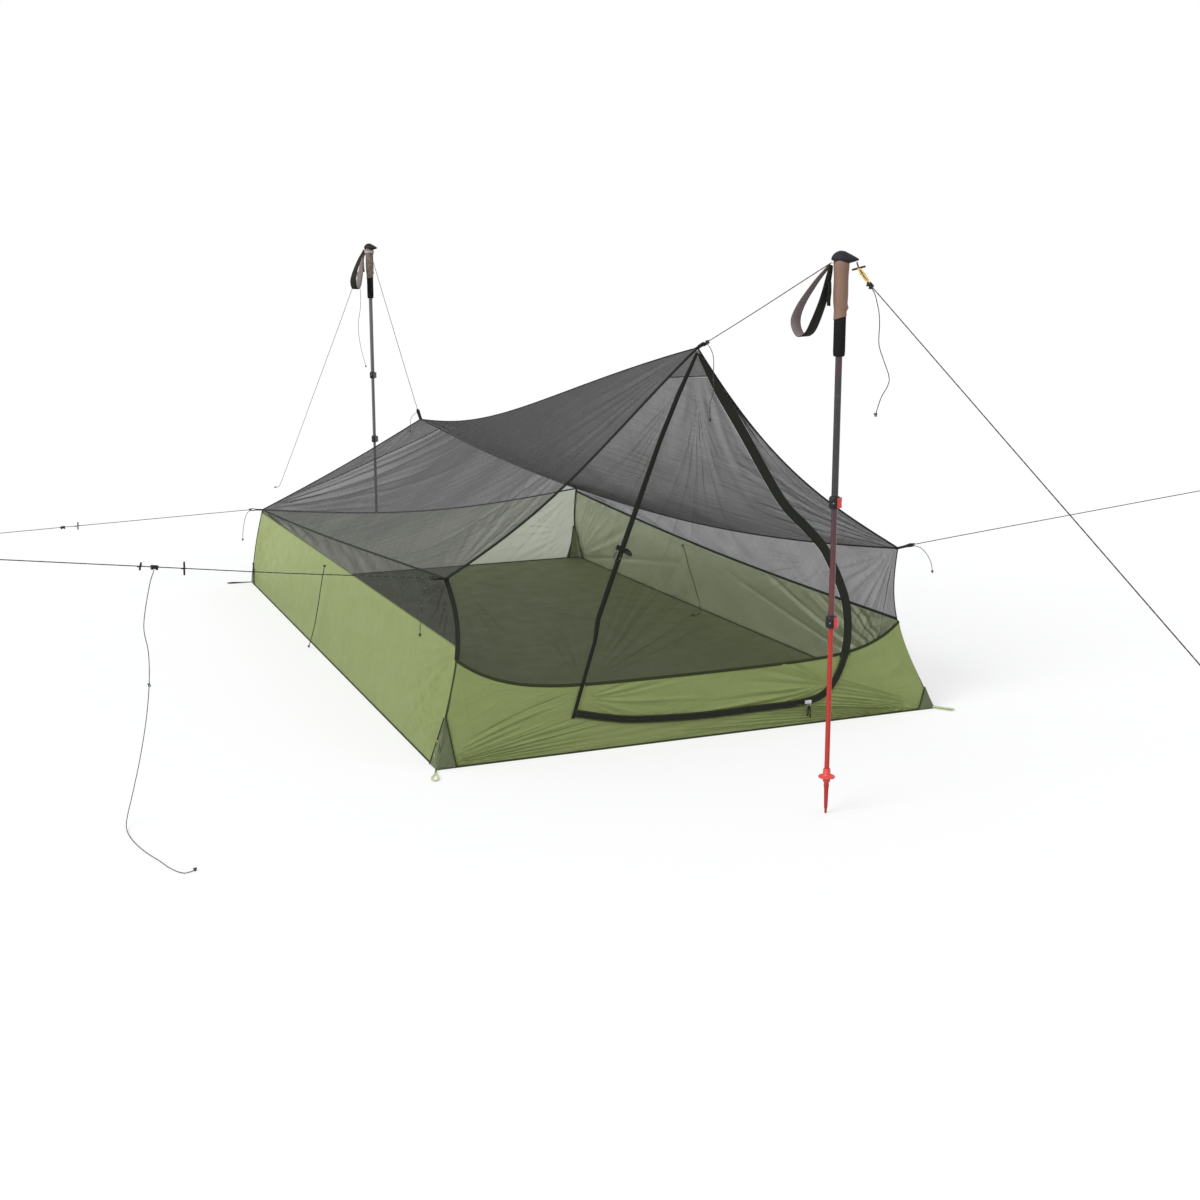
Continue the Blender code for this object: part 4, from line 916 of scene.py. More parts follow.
def make_netting_group():
    """Fine netting: a lattice of threads, with slack streaks."""
    w, start, end = new_group("netting threads", (
        ("Place", VECTOR, (0, 0, 0)), ("Threads", FLOAT, 420.0)), (("Threads", FLOAT), ("Streaks", FLOAT)))
    turn = w.times(start.outputs["Threads"], math.pi)
    across, up = [w.math("POWER", w.math("ABSOLUTE", w.wave(w.times(part, turn))), 6.0)
                  for part in w.axes(start.outputs["Place"])[:2]]
    one = w.streaks(start.outputs["Place"], 0.45, 0.34, 0.030, 1.0)
    other = w.streaks(start.outputs["Place"], -0.55, 0.40, 0.036, 4.0)
    w.fill(end, {"Threads": w.math("MAXIMUM", across, up), "Streaks": w.times(w.plus(one, other), 0.5)})


def make_webbing_group():
    """Woven tape: ribs along it and a herringbone across, with a row of stitches by each edge."""
    w, start, end = new_group("ribbed tape", (
        ("Place", VECTOR, (0, 0, 0)), ("Ribs", FLOAT, 900.0), ("Stitch", FLOAT, 220.0)),
        (("Height", FLOAT), ("Stitches", FLOAT)))
    along_it, across_it, _ = w.axes(start.outputs["Place"])
    bent = w.math("ABSOLUTE", w.wave(w.times(across_it, 800.0)))
    slant = w.plus(along_it, w.times(bent, 0.0012))
    rib = w.wave(w.times(slant, w.times(start.outputs["Ribs"], math.pi)))
    dash = w.wave(w.times(along_it, w.times(start.outputs["Stitch"], math.pi)))
    line = w.between(w.wave(w.times(across_it, 1250.0)), 0.86, 0.97)
    w.fill(end, {"Height": w.between(rib, -1, 1), "Stitches": w.times(line, w.between(dash, -0.2, 0.3))})


def make_braid_group():
    """Two sets of slanting strands round a cord."""
    w, start, end = new_group("braided strands", (
        ("Place", VECTOR, (0, 0, 0)), ("Pitch", FLOAT, 420.0)), (("Height", FLOAT), ("Fleck", FLOAT)))
    along_it, around_it, _ = w.axes(start.outputs["Place"])
    turn = w.times(start.outputs["Pitch"], math.pi)
    one = w.wave(w.times(w.plus(along_it, around_it), turn))
    two = w.wave(w.times(w.minus(along_it, around_it), turn))
    fleck = w.between(w.wave(w.times(along_it, 300.0)), 0.80, 0.98)
    w.fill(end, {"Height": w.between(w.times(one, two), -1, 1), "Fleck": fleck})


def make_scuff_group():
    """Handling marks: fine scratches and rubbed spots."""
    w, start, end = new_group("scuffs", (
        ("Place", VECTOR, (0, 0, 0)), ("Amount", FLOAT, 0.5)), (("Mask", FLOAT), ("Grain", FLOAT)))
    place = start.outputs["Place"]
    long_way = w.add("ShaderNodeMapping", {"Vector": place, "Scale": (1.0, 1.0, 0.07)})
    scratches = w.between(w.noise(long_way.outputs[0], 950.0, 3.0), 0.60, 0.72)
    rubbed = w.between(w.noise(place, 70.0, 5.0, 0.7), 0.56, 0.74)
    mask = w.times(w.plus(w.times(scratches, 0.6), rubbed, True), start.outputs["Amount"])
    w.fill(end, {"Mask": mask, "Grain": w.noise(place, 1500.0, 2.0)})


def make_cork_group():
    """Pressed cork: pale granules with dark grains between them."""
    w, start, end = new_group("pressed cork", (
        ("Place", VECTOR, (0, 0, 0)), ("Colour", COLOUR, (0.25, 0.15, 0.1, 1))),
        (("Colour", COLOUR), ("Height", FLOAT)))
    place = start.outputs["Place"]
    granule = w.add("ShaderNodeTexVoronoi", {"Vector": place, "Scale": 330.0})
    edge = w.between(w.cells(place, 330.0, "DISTANCE_TO_EDGE"), 0.0, 0.10)
    grains = w.between(w.noise(place, 520.0, 3.0, 0.7), 0.56, 0.66)
    tone = w.add("ShaderNodeSeparateColor", {0: granule.outputs["Color"]})
    bright = w.between(tone.outputs[0], 0, 1, 0.72, 1.28)
    shade = w.add("ShaderNodeHueSaturation", {"Value": bright, "Color": start.outputs["Colour"]})
    dark = w.blend(w.times(grains, 0.75), shade.outputs["Color"], (0.035, 0.018, 0.010, 1))
    w.fill(end, {"Colour": w.blend(edge, (0.10, 0.055, 0.035, 1), dark),
                 "Height": w.minus(edge, w.times(grains, 0.6))})


def make_groups():
    for make in (make_weave_group, make_crease_group, make_netting_group, make_webbing_group,
                 make_braid_group, make_scuff_group, make_cork_group):
        make()


# Finishes


def tint(colour, factor=1.0, more=0.0):
    """A colour made darker or lighter, with alpha."""
    return (*(min(channel * factor + more, 1.0) for channel in colour[:3]), 1)


def new_material(name):
    made = bpy.data.materials.new(name)
    made.use_nodes = True
    return made, Wiring(made.node_tree), made.node_tree.nodes["Principled BSDF"]


def cloth_material(name, colour, threads=900.0, contrast=0.10, roughness=0.58, crease=0.0006, through=None):
    """Woven, coated cloth. Some of it lets a share of the light behind it through, scattered."""
    made, w, shader = new_material(name)
    place = w.cloth_uv()
    weave = w.group("woven threads", place=place, colour=colour, threads=threads, contrast=contrast)
    creases = w.group("packing creases", place=place, size=1.0)
    # The crease lines blend in a little of a darker copy, 0.62 of the colour: painted shade in the creases.
    lines = w.times(creases.outputs["Lines"], 0.07)
    under = w.bump(creases.outputs["Height"], crease)
    w.fill(shader, {
        "Base Color": w.blend(lines, weave.outputs["Colour"], tint(colour, 0.62)),
        "Roughness": w.between(w.noise(place, 14.0), 0.3, 0.7, roughness - 0.06, roughness + 0.07),
        "Normal": w.bump(weave.outputs["Height"], 0.00015, under),
        "Specular IOR Level": 0.35,
    })
    if through is not None:
        w.fill(shader, {"Sheen Weight": 0.06, "Transmission Weight": through, "IOR": 1.20})
    return made


def make_wall_cloth(name, through=0.30, pale=0.0):
    # pale lightens the cloth towards 0.80 by that share: painted backlight on walls lit from behind.
    colour = [channel + (0.80 - channel) * pale for channel in colours().cloth]
    return cloth_material(name, tint(colour), crease=0.0006 * (1 - through), through=through)


def make_netting_material(name, clear=0.565):
    """Netting that is clear square on and closes up where it is seen along its surface."""
    made, w, shader = new_material(name)
    net = w.group("netting threads", place=w.cloth_uv(), threads=900.0)
    surface = w.bump(net.outputs["Streaks"], 0.0050)
    away = w.add("ShaderNodeLayerWeight", {"Blend": 0.5, "Normal": surface}).outputs["Facing"]
    open_share = w.plus(w.times(w.minus(net.outputs["Threads"], 0.35), -0.05), clear)
    seen_through = w.math("POWER", open_share, w.math("DIVIDE", 1.0, w.minus(1.14, away)))
    grey = colours().netting
    # The slack streaks make the thread colour up to a fifth darker or lighter: painted shading of the slack
    # folds, which the streaks also bump.
    w.fill(shader, {
        "Alpha": w.minus(1.0, seen_through, True),
        "Base Color": w.blend(net.outputs["Streaks"], tint(grey, 0.8), tint(grey, 1.2)),
        "Roughness": 0.75, "Specular IOR Level": 0.04, "Normal": surface,
    })
    return made


def tape_material(name, colour, roughness=0.72, stitch=0.35):
    made, w, shader = new_material(name)
    tape = w.group("ribbed tape", place=w.cloth_uv(), ribs=900.0, stitch=220.0)
    rib, stitches = tape.outputs["Height"], tape.outputs["Stitches"]
    shade = w.blend(rib, tint(colour, 0.75), tint(colour, 1.25))
    w.fill(shader, {
        "Base Color": w.blend(w.times(stitches, stitch), shade, tint(colour, 1.6, 0.02)),
        "Roughness": w.between(rib, 0, 1, roughness + 0.08, roughness - 0.05),
        "Normal": w.bump(w.plus(rib, w.times(stitches, 1.5)), 0.0002),
        "Specular IOR Level": 0.10,
    })
    return made


def make_patch_material(name, factor=1.0):
    return cloth_material(name, tint(colours().patch, factor), 500.0, 0.35, 0.62, 0.0008)


def cord_material(name, colour, fleck):
    made, w, shader = new_material(name)
    braid = w.group("braided strands", place=w.cloth_uv(), pitch=420.0)
    strand_height = braid.outputs["Height"]
    shade = w.blend(strand_height, tint(colour, 0.6), tint(colour, 1.3))
    w.fill(shader, {
        "Base Color": w.blend(w.times(braid.outputs["Fleck"], 0.5), shade, fleck),
        "Roughness": w.between(strand_height, 0, 1, 0.8, 0.62),
        "Normal": w.bump(strand_height, 0.0003),
    })
    return made


def hard_material(name, colour, roughness, scuffed, grain=0.00005, metallic=0.0, coat=0.0, worn=None,
                  shine=0.5):
    """Plastic, rubber, lacquer or metal with handling marks."""
    made, w, shader = new_material(name)
    marks = w.group("scuffs", place=w.object_place(), amount=scuffed)
    mask = marks.outputs["Mask"]
    base = w.blend(w.noise(w.object_place(), 35.0), tint(colour, 0.88), tint(colour, 1.12))
    w.fill(shader, {
        "Base Color": w.blend(mask, base, worn or tint(colour, 1.5, 0.05)),
        "Roughness": w.between(mask, 0, 1, roughness, min(roughness + 0.25, 1)),
        "Normal": w.bump(w.plus(marks.outputs["Grain"], mask), grain),
        "Metallic": metallic, "Specular IOR Level": shine, "Coat Weight": coat, "Coat Roughness": 0.25,
    })
    return made


def banded_tube(name, bands, roughness, soft=0.004):
    """A lacquered tube whose colour changes with height, from (height, colour) bands."""
    made, w, shader = new_material(name)
    place = w.object_place()
    marks = w.group("scuffs", place=place, amount=0.25)
    height = w.axes(place)[2]
    shade = (*bands[0][1], 1)
    for level, colour in bands[1:]:
        shade = w.blend(w.between(height, level - soft, level + soft), shade, (*colour, 1))
    w.fill(shader, {
        "Base Color": w.blend(marks.outputs["Mask"], shade, (0.22, 0.20, 0.20, 1)),
        "Roughness": w.between(marks.outputs["Mask"], 0, 1, roughness, roughness + 0.25),
        "Normal": w.bump(marks.outputs["Grain"], 0.00002),
        "Metallic": 0.30, "Coat Weight": 0.12, "Coat Roughness": 0.2,
    })
    return made


def make_cork_material(name, colour):
    made, w, shader = new_material(name)
    cork = w.group("pressed cork", place=w.object_place(), colour=tint(colour))
    w.fill(shader, {
        "Base Color": cork.outputs["Colour"],
        "Roughness": w.between(cork.outputs["Height"], 0, 1, 0.95, 0.78),
        "Normal": w.bump(cork.outputs["Height"], 0.0004),
        "Specular IOR Level": 0.12,
    })
    return made


def make_foam_material(name):
    made, w, shader = new_material(name)
    pores = w.cells(w.object_place(), 1100.0)
    black = colours().foam
    w.fill(shader, {
        "Base Color": w.blend(w.between(pores, 0.0, 0.6), tint(black, 0.5), tint(black, 1.6)),
        "Roughness": w.between(pores, 0, 0.6, 0.98, 0.85),
        "Normal": w.bump(pores, 0.0003),
        "Specular IOR Level": 0.08,
    })
    return made


def material(name):
    """The named finish, made the first time that it is asked for."""
    made = bpy.data.materials.get(name)
    if made:
        return made
    c = colours()
    recipes = {
        # The floor is the walls' cloth darkened to 0.47: painted shade inside the shelter.
        "floor_cloth": lambda n: cloth_material(n, tint(c.cloth, 0.47), crease=0.0004),
        "wall_cloth": make_wall_cloth,
        # The rear wall's cloth is lightened by a third and the right wall's by 0.06: painted backlight, on
        # top of the light that the cloth lets through.
        "lit_cloth": lambda n: make_wall_cloth(n, 0.92, 0.33),
        "right_cloth": lambda n: make_wall_cloth(n, 0.78, 0.06),
        "netting": make_netting_material,
        "gusset": lambda n: make_netting_material(n, 0.36),
        "patch": make_patch_material,
        # The inner patch is the corner patch's colour brightened 3.6 times: painted backlight inside the
        # rear right corner.
        "inner_patch": lambda n: make_patch_material(n, 3.6),
        "seam_tape": lambda n: tape_material(n, tint(c.tape)),
        "zip_tape": lambda n: tape_material(n, tint(c.tape), 0.6, 0.0),
        "flap": lambda n: tape_material(n, tint(c.tape, 1.3), 0.8, 0.25),
        "hem": lambda n: tape_material(n, tint(c.hem)),
        "pale_seam": lambda n: tape_material(n, tint(c.cloth, 0.62)),
        "webbing": lambda n: tape_material(n, tint(c.tape), 0.7, 0.6),
        "strap": lambda n: tape_material(n, tint(c.tape, 1.3), 0.66, 0.5),
        "lining": lambda n: tape_material(n, tint(c.lining), 0.9, 0.2),
        "cord": lambda n: cord_material(n, tint(c.cord), (0.30, 0.31, 0.30, 1)),
        "bright_loop": lambda n: cord_material(n, tint(c.loop), (0.90, 0.75, 0.40, 1)),
        "stake_loop": lambda n: tape_material(n, tint(c.stake_loop), 0.7, 0.5),
        "pale_cord": lambda n: cord_material(n, (0.62, 0.62, 0.58, 1), (0.75, 0.75, 0.70, 1)),
        "plastic": lambda n: hard_material(n, tint(c.plastic), 0.42, 0.25, shine=0.25),
        "rubber": lambda n: hard_material(n, tint(c.rubber), 0.62, 0.35, 0.0001, shine=0.20),
        "steel": lambda n: hard_material(n, tint(c.steel), 0.30, 0.4, 0.00003, 1.0),
        "cork": lambda n: make_cork_material(n, c.cork),
        "pale_cork": lambda n: make_cork_material(n, c.pale_cork),
        "foam": make_foam_material,
        "upper_tube": lambda n: banded_tube(n, ((0, c.tube), (0.949, c.purple)), 0.32),
        "mid_tube": lambda n: banded_tube(n, ((0, c.red_brown), (0.56, c.purple)), 0.32, 0.10),
        "rear_tube": lambda n: banded_tube(n, ((0, c.rear_tube), (0.949, c.rear_tube)), 0.40),
        "red_tube": lambda n: banded_tube(
            n, ((0, c.worn_tip), (0.006, c.brown_tip), (0.064, c.low_tube)), 0.34),
        "tip": lambda n: banded_tube(n, ((0, c.worn_tip), (0.006, c.tube), (0.064, c.rear_tube)), 0.36),
        "lever": lambda n: hard_material(n, tint(c.lever), 0.38, 0.2, coat=0.3),
        "rear_lever": lambda n: hard_material(n, tint(c.rear_lever), 0.38, 0.2),
        "basket": lambda n: hard_material(n, tint(c.basket), 0.48, 0.2, worn=(0.85, 0.30, 0.26, 1)),
    }
    return recipes[name](name)


# Cords


def cord(name, node, route, diameter, lay, far_end="knot", body="root", spacing=0.012, extras=()):
    """A cord on a smooth route."""
    path = even_curve(route)
    points = along(path, max(int(path.length / spacing), 16))
    obj = piece(name, swept_bmesh(points, round_section(diameter)), "cord", body, 60)
    if node:
        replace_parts(obj, node)
    return obj


def knot(name, place, size, thickness, body="root", turn=0.0):
    """An overhand knot pulled tight."""
    points = []
    for step in range(61):
        t = 2 * math.pi * step / 60
        points.append((math.sin(t) + 2 * math.sin(2 * t), math.cos(t) - 2 * math.cos(2 * t),
                       -math.sin(3 * t)))
    stand = Matrix.Translation(place) @ Matrix.Rotation(turn, 4, "Z") @ Matrix.Rotation(1.2, 4, "X")
    spots = [stand @ (Vector(point) * size / 6) for point in points]
    return piece(name, swept_bmesh(spots, round_section(thickness, 6)), "cord", body, 60)


def make_cords():
    """The guy lines, ridge cords, tails and tie cords, each ending in a knot or loop."""
    cord("front_ridge_line", "front_ridge_cord", FRONT_RIDGE_CORD, GUY, "taut", "object")
    cord("rear_ridge_line", "rear_ridge_cord", REAR_RIDGE_CORD, GUY, "taut", "object")
    for node, route in (
        ("front_guy", FRONT_GUY), ("rear_guy", REAR_GUY), ("front_left_guy", FRONT_LEFT_GUY),
        ("front_right_guy", FRONT_RIGHT_GUY), ("rear_left_guy", REAR_LEFT_GUY),
    ):
        end = knot(f"{node}_line_knot", Vector(route[-3]), 0.009, GUY)
        cord(f"{node}_line", node, route, GUY, "taut", extras=[end])
    body = "front_left_line_lock"
    lift = Vector((0, 0, 0.002))
    end = knot("front_left_tail_knot", Vector(FRONT_LEFT_TAIL[-1]) + lift, 0.007, THIN_CORD, body)
    halfway = Vector(FRONT_LEFT_TAIL[4])
    middle = knot("front_left_tail_middle_knot", halfway, 0.009, THIN_CORD, body, turn=1.0)
    cord("front_left_tail_cord", "front_left_guy_tail", FRONT_LEFT_TAIL, THIN_CORD, "hanging", body=body,
         extras=[end, middle])
    body = "front_line_lock"
    end = knot("front_tail_knot", Vector(FRONT_GUY_TAIL[-1]), 0.008, THIN_CORD, body)
    cord("front_tail_cord", "front_guy_tail", FRONT_GUY_TAIL, THIN_CORD, "hanging", body=body, extras=[end])
    for name, node, route, wide in (
        ("left_wall_tie", "left_tie_cord", LEFT_TIE_CORD, TIE_CORD),
        ("right_wall_tie", "right_tie_cord", RIGHT_TIE_CORD, TIE_CORD),
        ("rear_pole_tail_cord", "rear_pole_tail", REAR_POLE_TAIL, THIN_CORD),
    ):
        head = knot(f"{name}_head_knot", Vector(route[0]), 0.008, THIN_CORD)
        end = knot(f"{name}_end_knot", Vector(route[-1]) + Vector((0, 0, 0.001)), 0.007, THIN_CORD)
        cord(name, node, route, wide, "hanging", extras=[head, end])
    for name, route in (
        ("front_left_tab_tail", ((-0.668, -1.101, 0.440), (-0.680, -1.106, 0.428), (-0.694, -1.112, 0.402),
                                 (-0.697, -1.114, 0.375), (-0.698, -1.113, 0.352), (-0.700, -1.112, 0.330),
                                 (-0.701, -1.112, 0.312))),
        ("front_right_tab_tail", ((0.670, -1.101, 0.427), (0.688, -1.106, 0.421), (0.706, -1.110, 0.402),
                                  (0.718, -1.113, 0.378), (0.722, -1.114, 0.356))),
        ("rear_left_tab_tail", ((-0.647, 1.136, 0.274), (-0.660, 1.139, 0.262), (-0.668, 1.141, 0.235),
                                (-0.674, 1.142, 0.205), (-0.677, 1.142, 0.170))),
        ("peak_tail", ((0.004, -1.195, 0.979), (0.012, -1.198, 0.966), (0.018, -1.200, 0.944),
                       (0.018, -1.200, 0.900), (0.018, -1.200, 0.862), (0.011, -1.198, 0.836),
                       (0.012, -1.198, 0.798))),
        ("rear_peak_tail", ((-0.002, 1.190, 0.594), (-0.016, 1.188, 0.588), (-0.030, 1.186, 0.572),
                            (-0.032, 1.186, 0.550), (-0.034, 1.186, 0.524))),
    ):
        end = knot(f"{name}_knot", Vector(route[-1]), 0.007, THIN_CORD)
        cord(name, None, route, THIN_CORD, "hanging", extras=[end], spacing=0.006)


# Fabric


def make_floor_and_walls():
    thick = sizes().cloth_thickness
    s = SEAMS
    flat = [moved(sloped(a, b), (0, 0, CLOTH_LIFT)) for a, b in (
        (FRONT_LEFT, FRONT_RIGHT), (REAR_LEFT, REAR_RIGHT), (FRONT_LEFT, REAR_LEFT),
        (FRONT_RIGHT, REAR_RIGHT))]
    floor_folds = [(0.08, 0.1, 0.5, 0.35, 0.03, 0.004), (0.9, 0.15, 0.55, 0.5, 0.03, 0.004),
                   (0.2, 0.9, 0.6, 0.6, 0.035, 0.004), (0.3, 0.05, 0.35, 0.8, 0.02, 0.003),
                   (0.7, 0.3, 0.72, 0.95, 0.02, 0.003), (0.05, 0.6, 0.9, 0.7, 0.02, 0.003)]
    fabric("floor_cloth", "floor_sheet", flat, (110, 180), "floor_cloth", folds=floor_folds,
           soft=(0.35, 0.0022, 3), thickness=thick, grounded=True)
    sides = (
        ("left", FRONT_LEFT, REAR_LEFT, "left_corner", "left_cut", "left_green", "left_eave"),
        ("right", FRONT_RIGHT, REAR_RIGHT, "right_corner", "right_cut", "right_green", "right_eave"),
    )
    wall_fans = {
        "left": [(0, 0, 12, 88, 16, 0.50, 0.010, 0.0060, 11), (0, 1, -86, -6, 14, 0.55, 0.010, 0.0056, 12),
                 (1, 0, 95, 168, 12, 0.50, 0.010, 0.0050, 13), (1, 1, 188, 250, 9, 0.6, 0.010, 0.0050, 14),
                 (0.5, 0, 40, 140, 7, 0.25, 0.010, 0.0030, 15)],
        "right": [(0, 0, 8, 62, 10, 1.30, 0.026, 0.0060, 21), (0, 1, -60, -8, 7, 0.8, 0.020, 0.0040, 22),
                  (1, 0, 110, 172, 9, 1.00, 0.020, 0.0045, 23)],
    }
    for side, front, rear, corner, cut, green, eave in sides:
        front_seam = s[corner]
        rear_seam = s[f"rear_{side}_corner"]
        rear_top = s[green](1)
        low_front = stretch(front_seam, 0, s[cut])
        high_front = stretch(front_seam, s[cut], 1)
        low_rear = stretch(rear_seam, 0, fraction_where(rear_seam, lambda q: q.z >= rear_top.z))
        high_rear = sloped(rear_top, s[eave](1))
        fabric(f"{side}_wall_cloth", f"{side}_wall", (sloped(front, rear), s[green], low_front, low_rear),
               (300, 50), "wall_cloth" if side == "left" else "right_cloth", fans=wall_fans[side],
               soft=(0.30, 0.0026, 5))
        fabric(f"{side}_wall_netting", f"{side}_wall_mesh", (s[green], s[eave], high_front, high_rear),
               (230, 26), "netting", fans=[(0, 1, -60, -5, 10, 0.6, 0.010, 0.006, 31),
                                           (1, 0.5, 165, 195, 9, 0.9, 0.010, 0.005, 32)],
               soft=(0.20, 0.0030, 6))
    fabric("rear_wall_cloth", "rear_wall",
           (sloped(REAR_LEFT, REAR_RIGHT), s["rear_green"], s["rear_left_corner"], s["rear_right_corner"]),
           (170, 50), "lit_cloth", fans=[(1, 0.42, 125, 235, 20, 0.62, 0.008, 0.0034, 41),
                                         (1, 1, 190, 250, 8, 0.6, 0.010, 0.0050, 42),
                                         (0, 0, 15, 80, 10, 0.5, 0.010, 0.005, 43),
                                         (0, 1, -70, -8, 10, 0.5, 0.010, 0.005, 44)],
           soft=(0.22, 0.0022, 7))


def make_netting_panels():
    s = SEAMS
    up_left = stretch(s["rear_left_edge"], 0, REAR_MESH_SHARE)
    up_right = stretch(s["rear_right_edge"], 0, REAR_MESH_SHARE)
    fabric("rear_netting", "rear_mesh",
           (s["rear_green"], sloped(up_left(1), up_right(1)), up_left, up_right), (120, 50), "netting",
           fans=[(0.5, 1, 215, 325, 8, 0.3, 0.012, 0.003, 51), (0, 0, 5, 40, 6, 0.5, 0.012, 0.003, 52),
                 (1, 0, 140, 176, 6, 0.5, 0.012, 0.003, 53)], soft=(0.2, 0.002, 8))
    roof_fans = {
        "left": [(0, 1, -75, -12, 9, 0.9, 0.022, 0.0045, 61), (1, 0, 112, 168, 8, 1.50, 0.034, 0.0100, 62),
                 (1, 0, 110, 170, 12, 0.75, 0.014, 0.0035, 65),
                 (1, 1, 190, 250, 7, 0.6, 0.016, 0.004, 63), (0, 0, 12, 75, 7, 0.6, 0.016, 0.004, 64)],
        "right": [(0, 1, -75, -12, 9, 0.9, 0.022, 0.0045, 71), (1, 0, 110, 170, 10, 0.8, 0.018, 0.0045, 72),
                  (1, 1, 190, 250, 8, 0.7, 0.016, 0.004, 73), (0, 0, 12, 75, 8, 0.6, 0.016, 0.004, 74)],
    }
    for side in ("left", "right"):
        up_front = backwards(s[f"{side}_edge"])
        fabric(f"roof_{side}_netting", f"roof_{side}_mesh",
               (s[f"{side}_eave"], s["ridge"], up_front, s[f"rear_{side}_edge"]), (230, 80), "netting",
               fans=roof_fans[side], soft=(0.35, 0.0030, 9 if side == "left" else 10), sag=0.008)
    d = DOOR
    hinge_high = fraction_where(d["hinge"], lambda q: q.z >= GUSSET_FOOT)
    left_sill = sill_seam(s["left_low"].x, d["hinge_low"].x)
    left_outer, right_outer = [
        chained((0.22, stretch(s[f"{side}_corner"], s[f"{side}_sill"], 1)),
                (1.0, stretch(s[f"{side}_edge"], 1, s[f"{side}_high"]))) for side in ("left", "right")]
    left_inner = stretch(d["hinge"], d["hinge_sill"], hinge_high)
    fabric("front_left_netting", "front_mesh_left",
           (left_sill, sloped(left_outer(1), left_inner(1)), left_outer, left_inner), (90, 170), "netting",
           fans=[(0, 0.24, -80, 70, 16, 0.6, 0.009, 0.0060, 81), (1, 0, 95, 150, 8, 0.4, 0.010, 0.005, 82),
                 (1, 1, 215, 262, 9, 0.7, 0.010, 0.005, 83)],
           soft=(0.14, 0.003, 11))
    right_inner = beside(d["flap"], lambda t: flap_half(t) - 0.0005, 0.008, d["flap_high"])
    mesh_right_sill = sill_seam(right_inner(0).x, s["right_low"].x)
    fabric("front_right_netting", "front_mesh_right",
           (mesh_right_sill, sloped(right_inner(1), right_outer(1)), right_inner, right_outer), (80, 170),
           "netting", fans=[(1, 0.24, 95, 260, 18, 0.45, 0.009, 0.0060, 91),
                            (0.5, 1, 225, 315, 9, 0.5, 0.009, 0.004, 92)], soft=(0.12, 0.003, 12))
    forward = (0, -GUSSET_FORWARD, 0)
    left_side, right_side = [moved(stretch(s[f"{side}_edge"], s[f"{side}_high"], 0.012), forward)
                             for side in ("left", "right")]
    foot = moved(sloped(s["left_edge"](s["left_high"]), s["right_edge"](s["right_high"])), forward)
    fabric("peak_gusset_cloth", "peak_gusset",
           (foot, sloped(left_side(1), right_side(1)), left_side, right_side), (24, 12), "gusset",
           soft=(0.05, 0.0006, 13))


def make_door_and_sill():
    s, d = SEAMS, DOOR
    hinge, zip_line = d["hinge"], d["zip"]
    outer = chained(
        (0.2, stretch(s["left_corner"], s["left_sill"], SILL_FOOT / 2)),
        (0.8, sloped(s["left_corner"](SILL_FOOT / 2), s["right_corner"](SILL_FOOT / 2))),
        (1.0, stretch(s["right_corner"], SILL_FOOT / 2, s["right_sill"])),
    )
    inner = chained(
        (0.2, stretch(hinge, d["hinge_sill"], 0)),
        (0.8, stretch(zip_line, 0, d["turn"])),
        (1.0, stretch(zip_line, d["turn"], d["at_sill"])),
    )
    left_sill = sill_seam(s["left_low"].x, d["hinge_low"].x)
    right_sill = sill_seam(d["zip_low"].x, s["right_low"].x)
    fabric("front_sill_cloth", "front_sill", (outer, inner, left_sill, backwards(right_sill)), (300, 44),
           "wall_cloth", fans=[(0.19, 0.02, 10, 130, 16, 0.46, 0.009, 0.0050, 101),
                               (0.80, 0.02, 60, 176, 24, 0.70, 0.009, 0.0064, 102),
                               (0.5, 1, 205, 335, 9, 0.20, 0.009, 0.0030, 103)],
           soft=(0.16, 0.0014, 14), fade=0.2)
    door_sill = sill_seam(d["hinge_low"].x, d["zip_low"].x - 0.001)
    sill_cloth = fabric(
        "door_sill_cloth", "door_sill",
        (beside(zip_line, -0.0015, 0.004, d["turn"]), door_sill, stretch(hinge, 0, d["hinge_sill"]),
         beside(zip_line, -0.0015, d["turn"], d["at_sill"])), (150, 30), "wall_cloth", body=None,
        fans=[(0, 0.5, -30, 30, 10, 0.4, 0.009, 0.0045, 111),
              (1, 0.4, 145, 215, 14, 0.42, 0.009, 0.0055, 112)],
        soft=(0.15, 0.0015, 15))
    top = fraction_where(hinge, lambda q: q.z >= GUSSET_FOOT - 0.003)
    door_left = stretch(hinge, d["hinge_sill"], top)
    door_right = beside(d["flap"], lambda t: -flap_half(t) - 0.0006, 0.008, d["flap_high"])
    door_foot = sill_seam(d["hinge_low"].x, door_right(0).x)
    net = fabric(
        "door_netting", "door_mesh",
        (door_foot, sloped(door_left(1), door_right(1)), door_left, door_right), (140, 170), "netting",
        body=None,
        fans=[(0.5, 1, 235, 305, 14, 0.6, 0.010, 0.0055, 121), (0, 0, 20, 80, 10, 0.5, 0.010, 0.0055, 122),
              (1, 0.3, 150, 210, 10, 0.4, 0.010, 0.005, 123)], soft=(0.16, 0.003, 16), sag=0.003)
    for cloth in (sill_cloth, net):
        fold_at_hinge(cloth)
    forward = (0, -FLAP_FORWARD, 0)
    inner_side = moved(beside(d["flap"], lambda t: -flap_half(t), 0.002, 0.998), forward)
    outer_side = moved(beside(d["flap"], flap_half, 0.002, 0.998), forward)
    flap_ends = [sloped(inner_side(end), outer_side(end)) for end in (0, 1)]
    flap = fabric("zip_flap_cloth", "zip_flap", (*flap_ends, inner_side, outer_side), (8, 150), "flap",
                  soft=(0.06, 0.0010, 17))
    thickened(flap, 0.0012, 0.0)


def fold_at_hinge(cloth):
    """Bakes the cloth's placement into its mesh."""
    middle = DOOR["axis"](0.5)
    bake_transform(cloth)


# Seams, hems and the zip


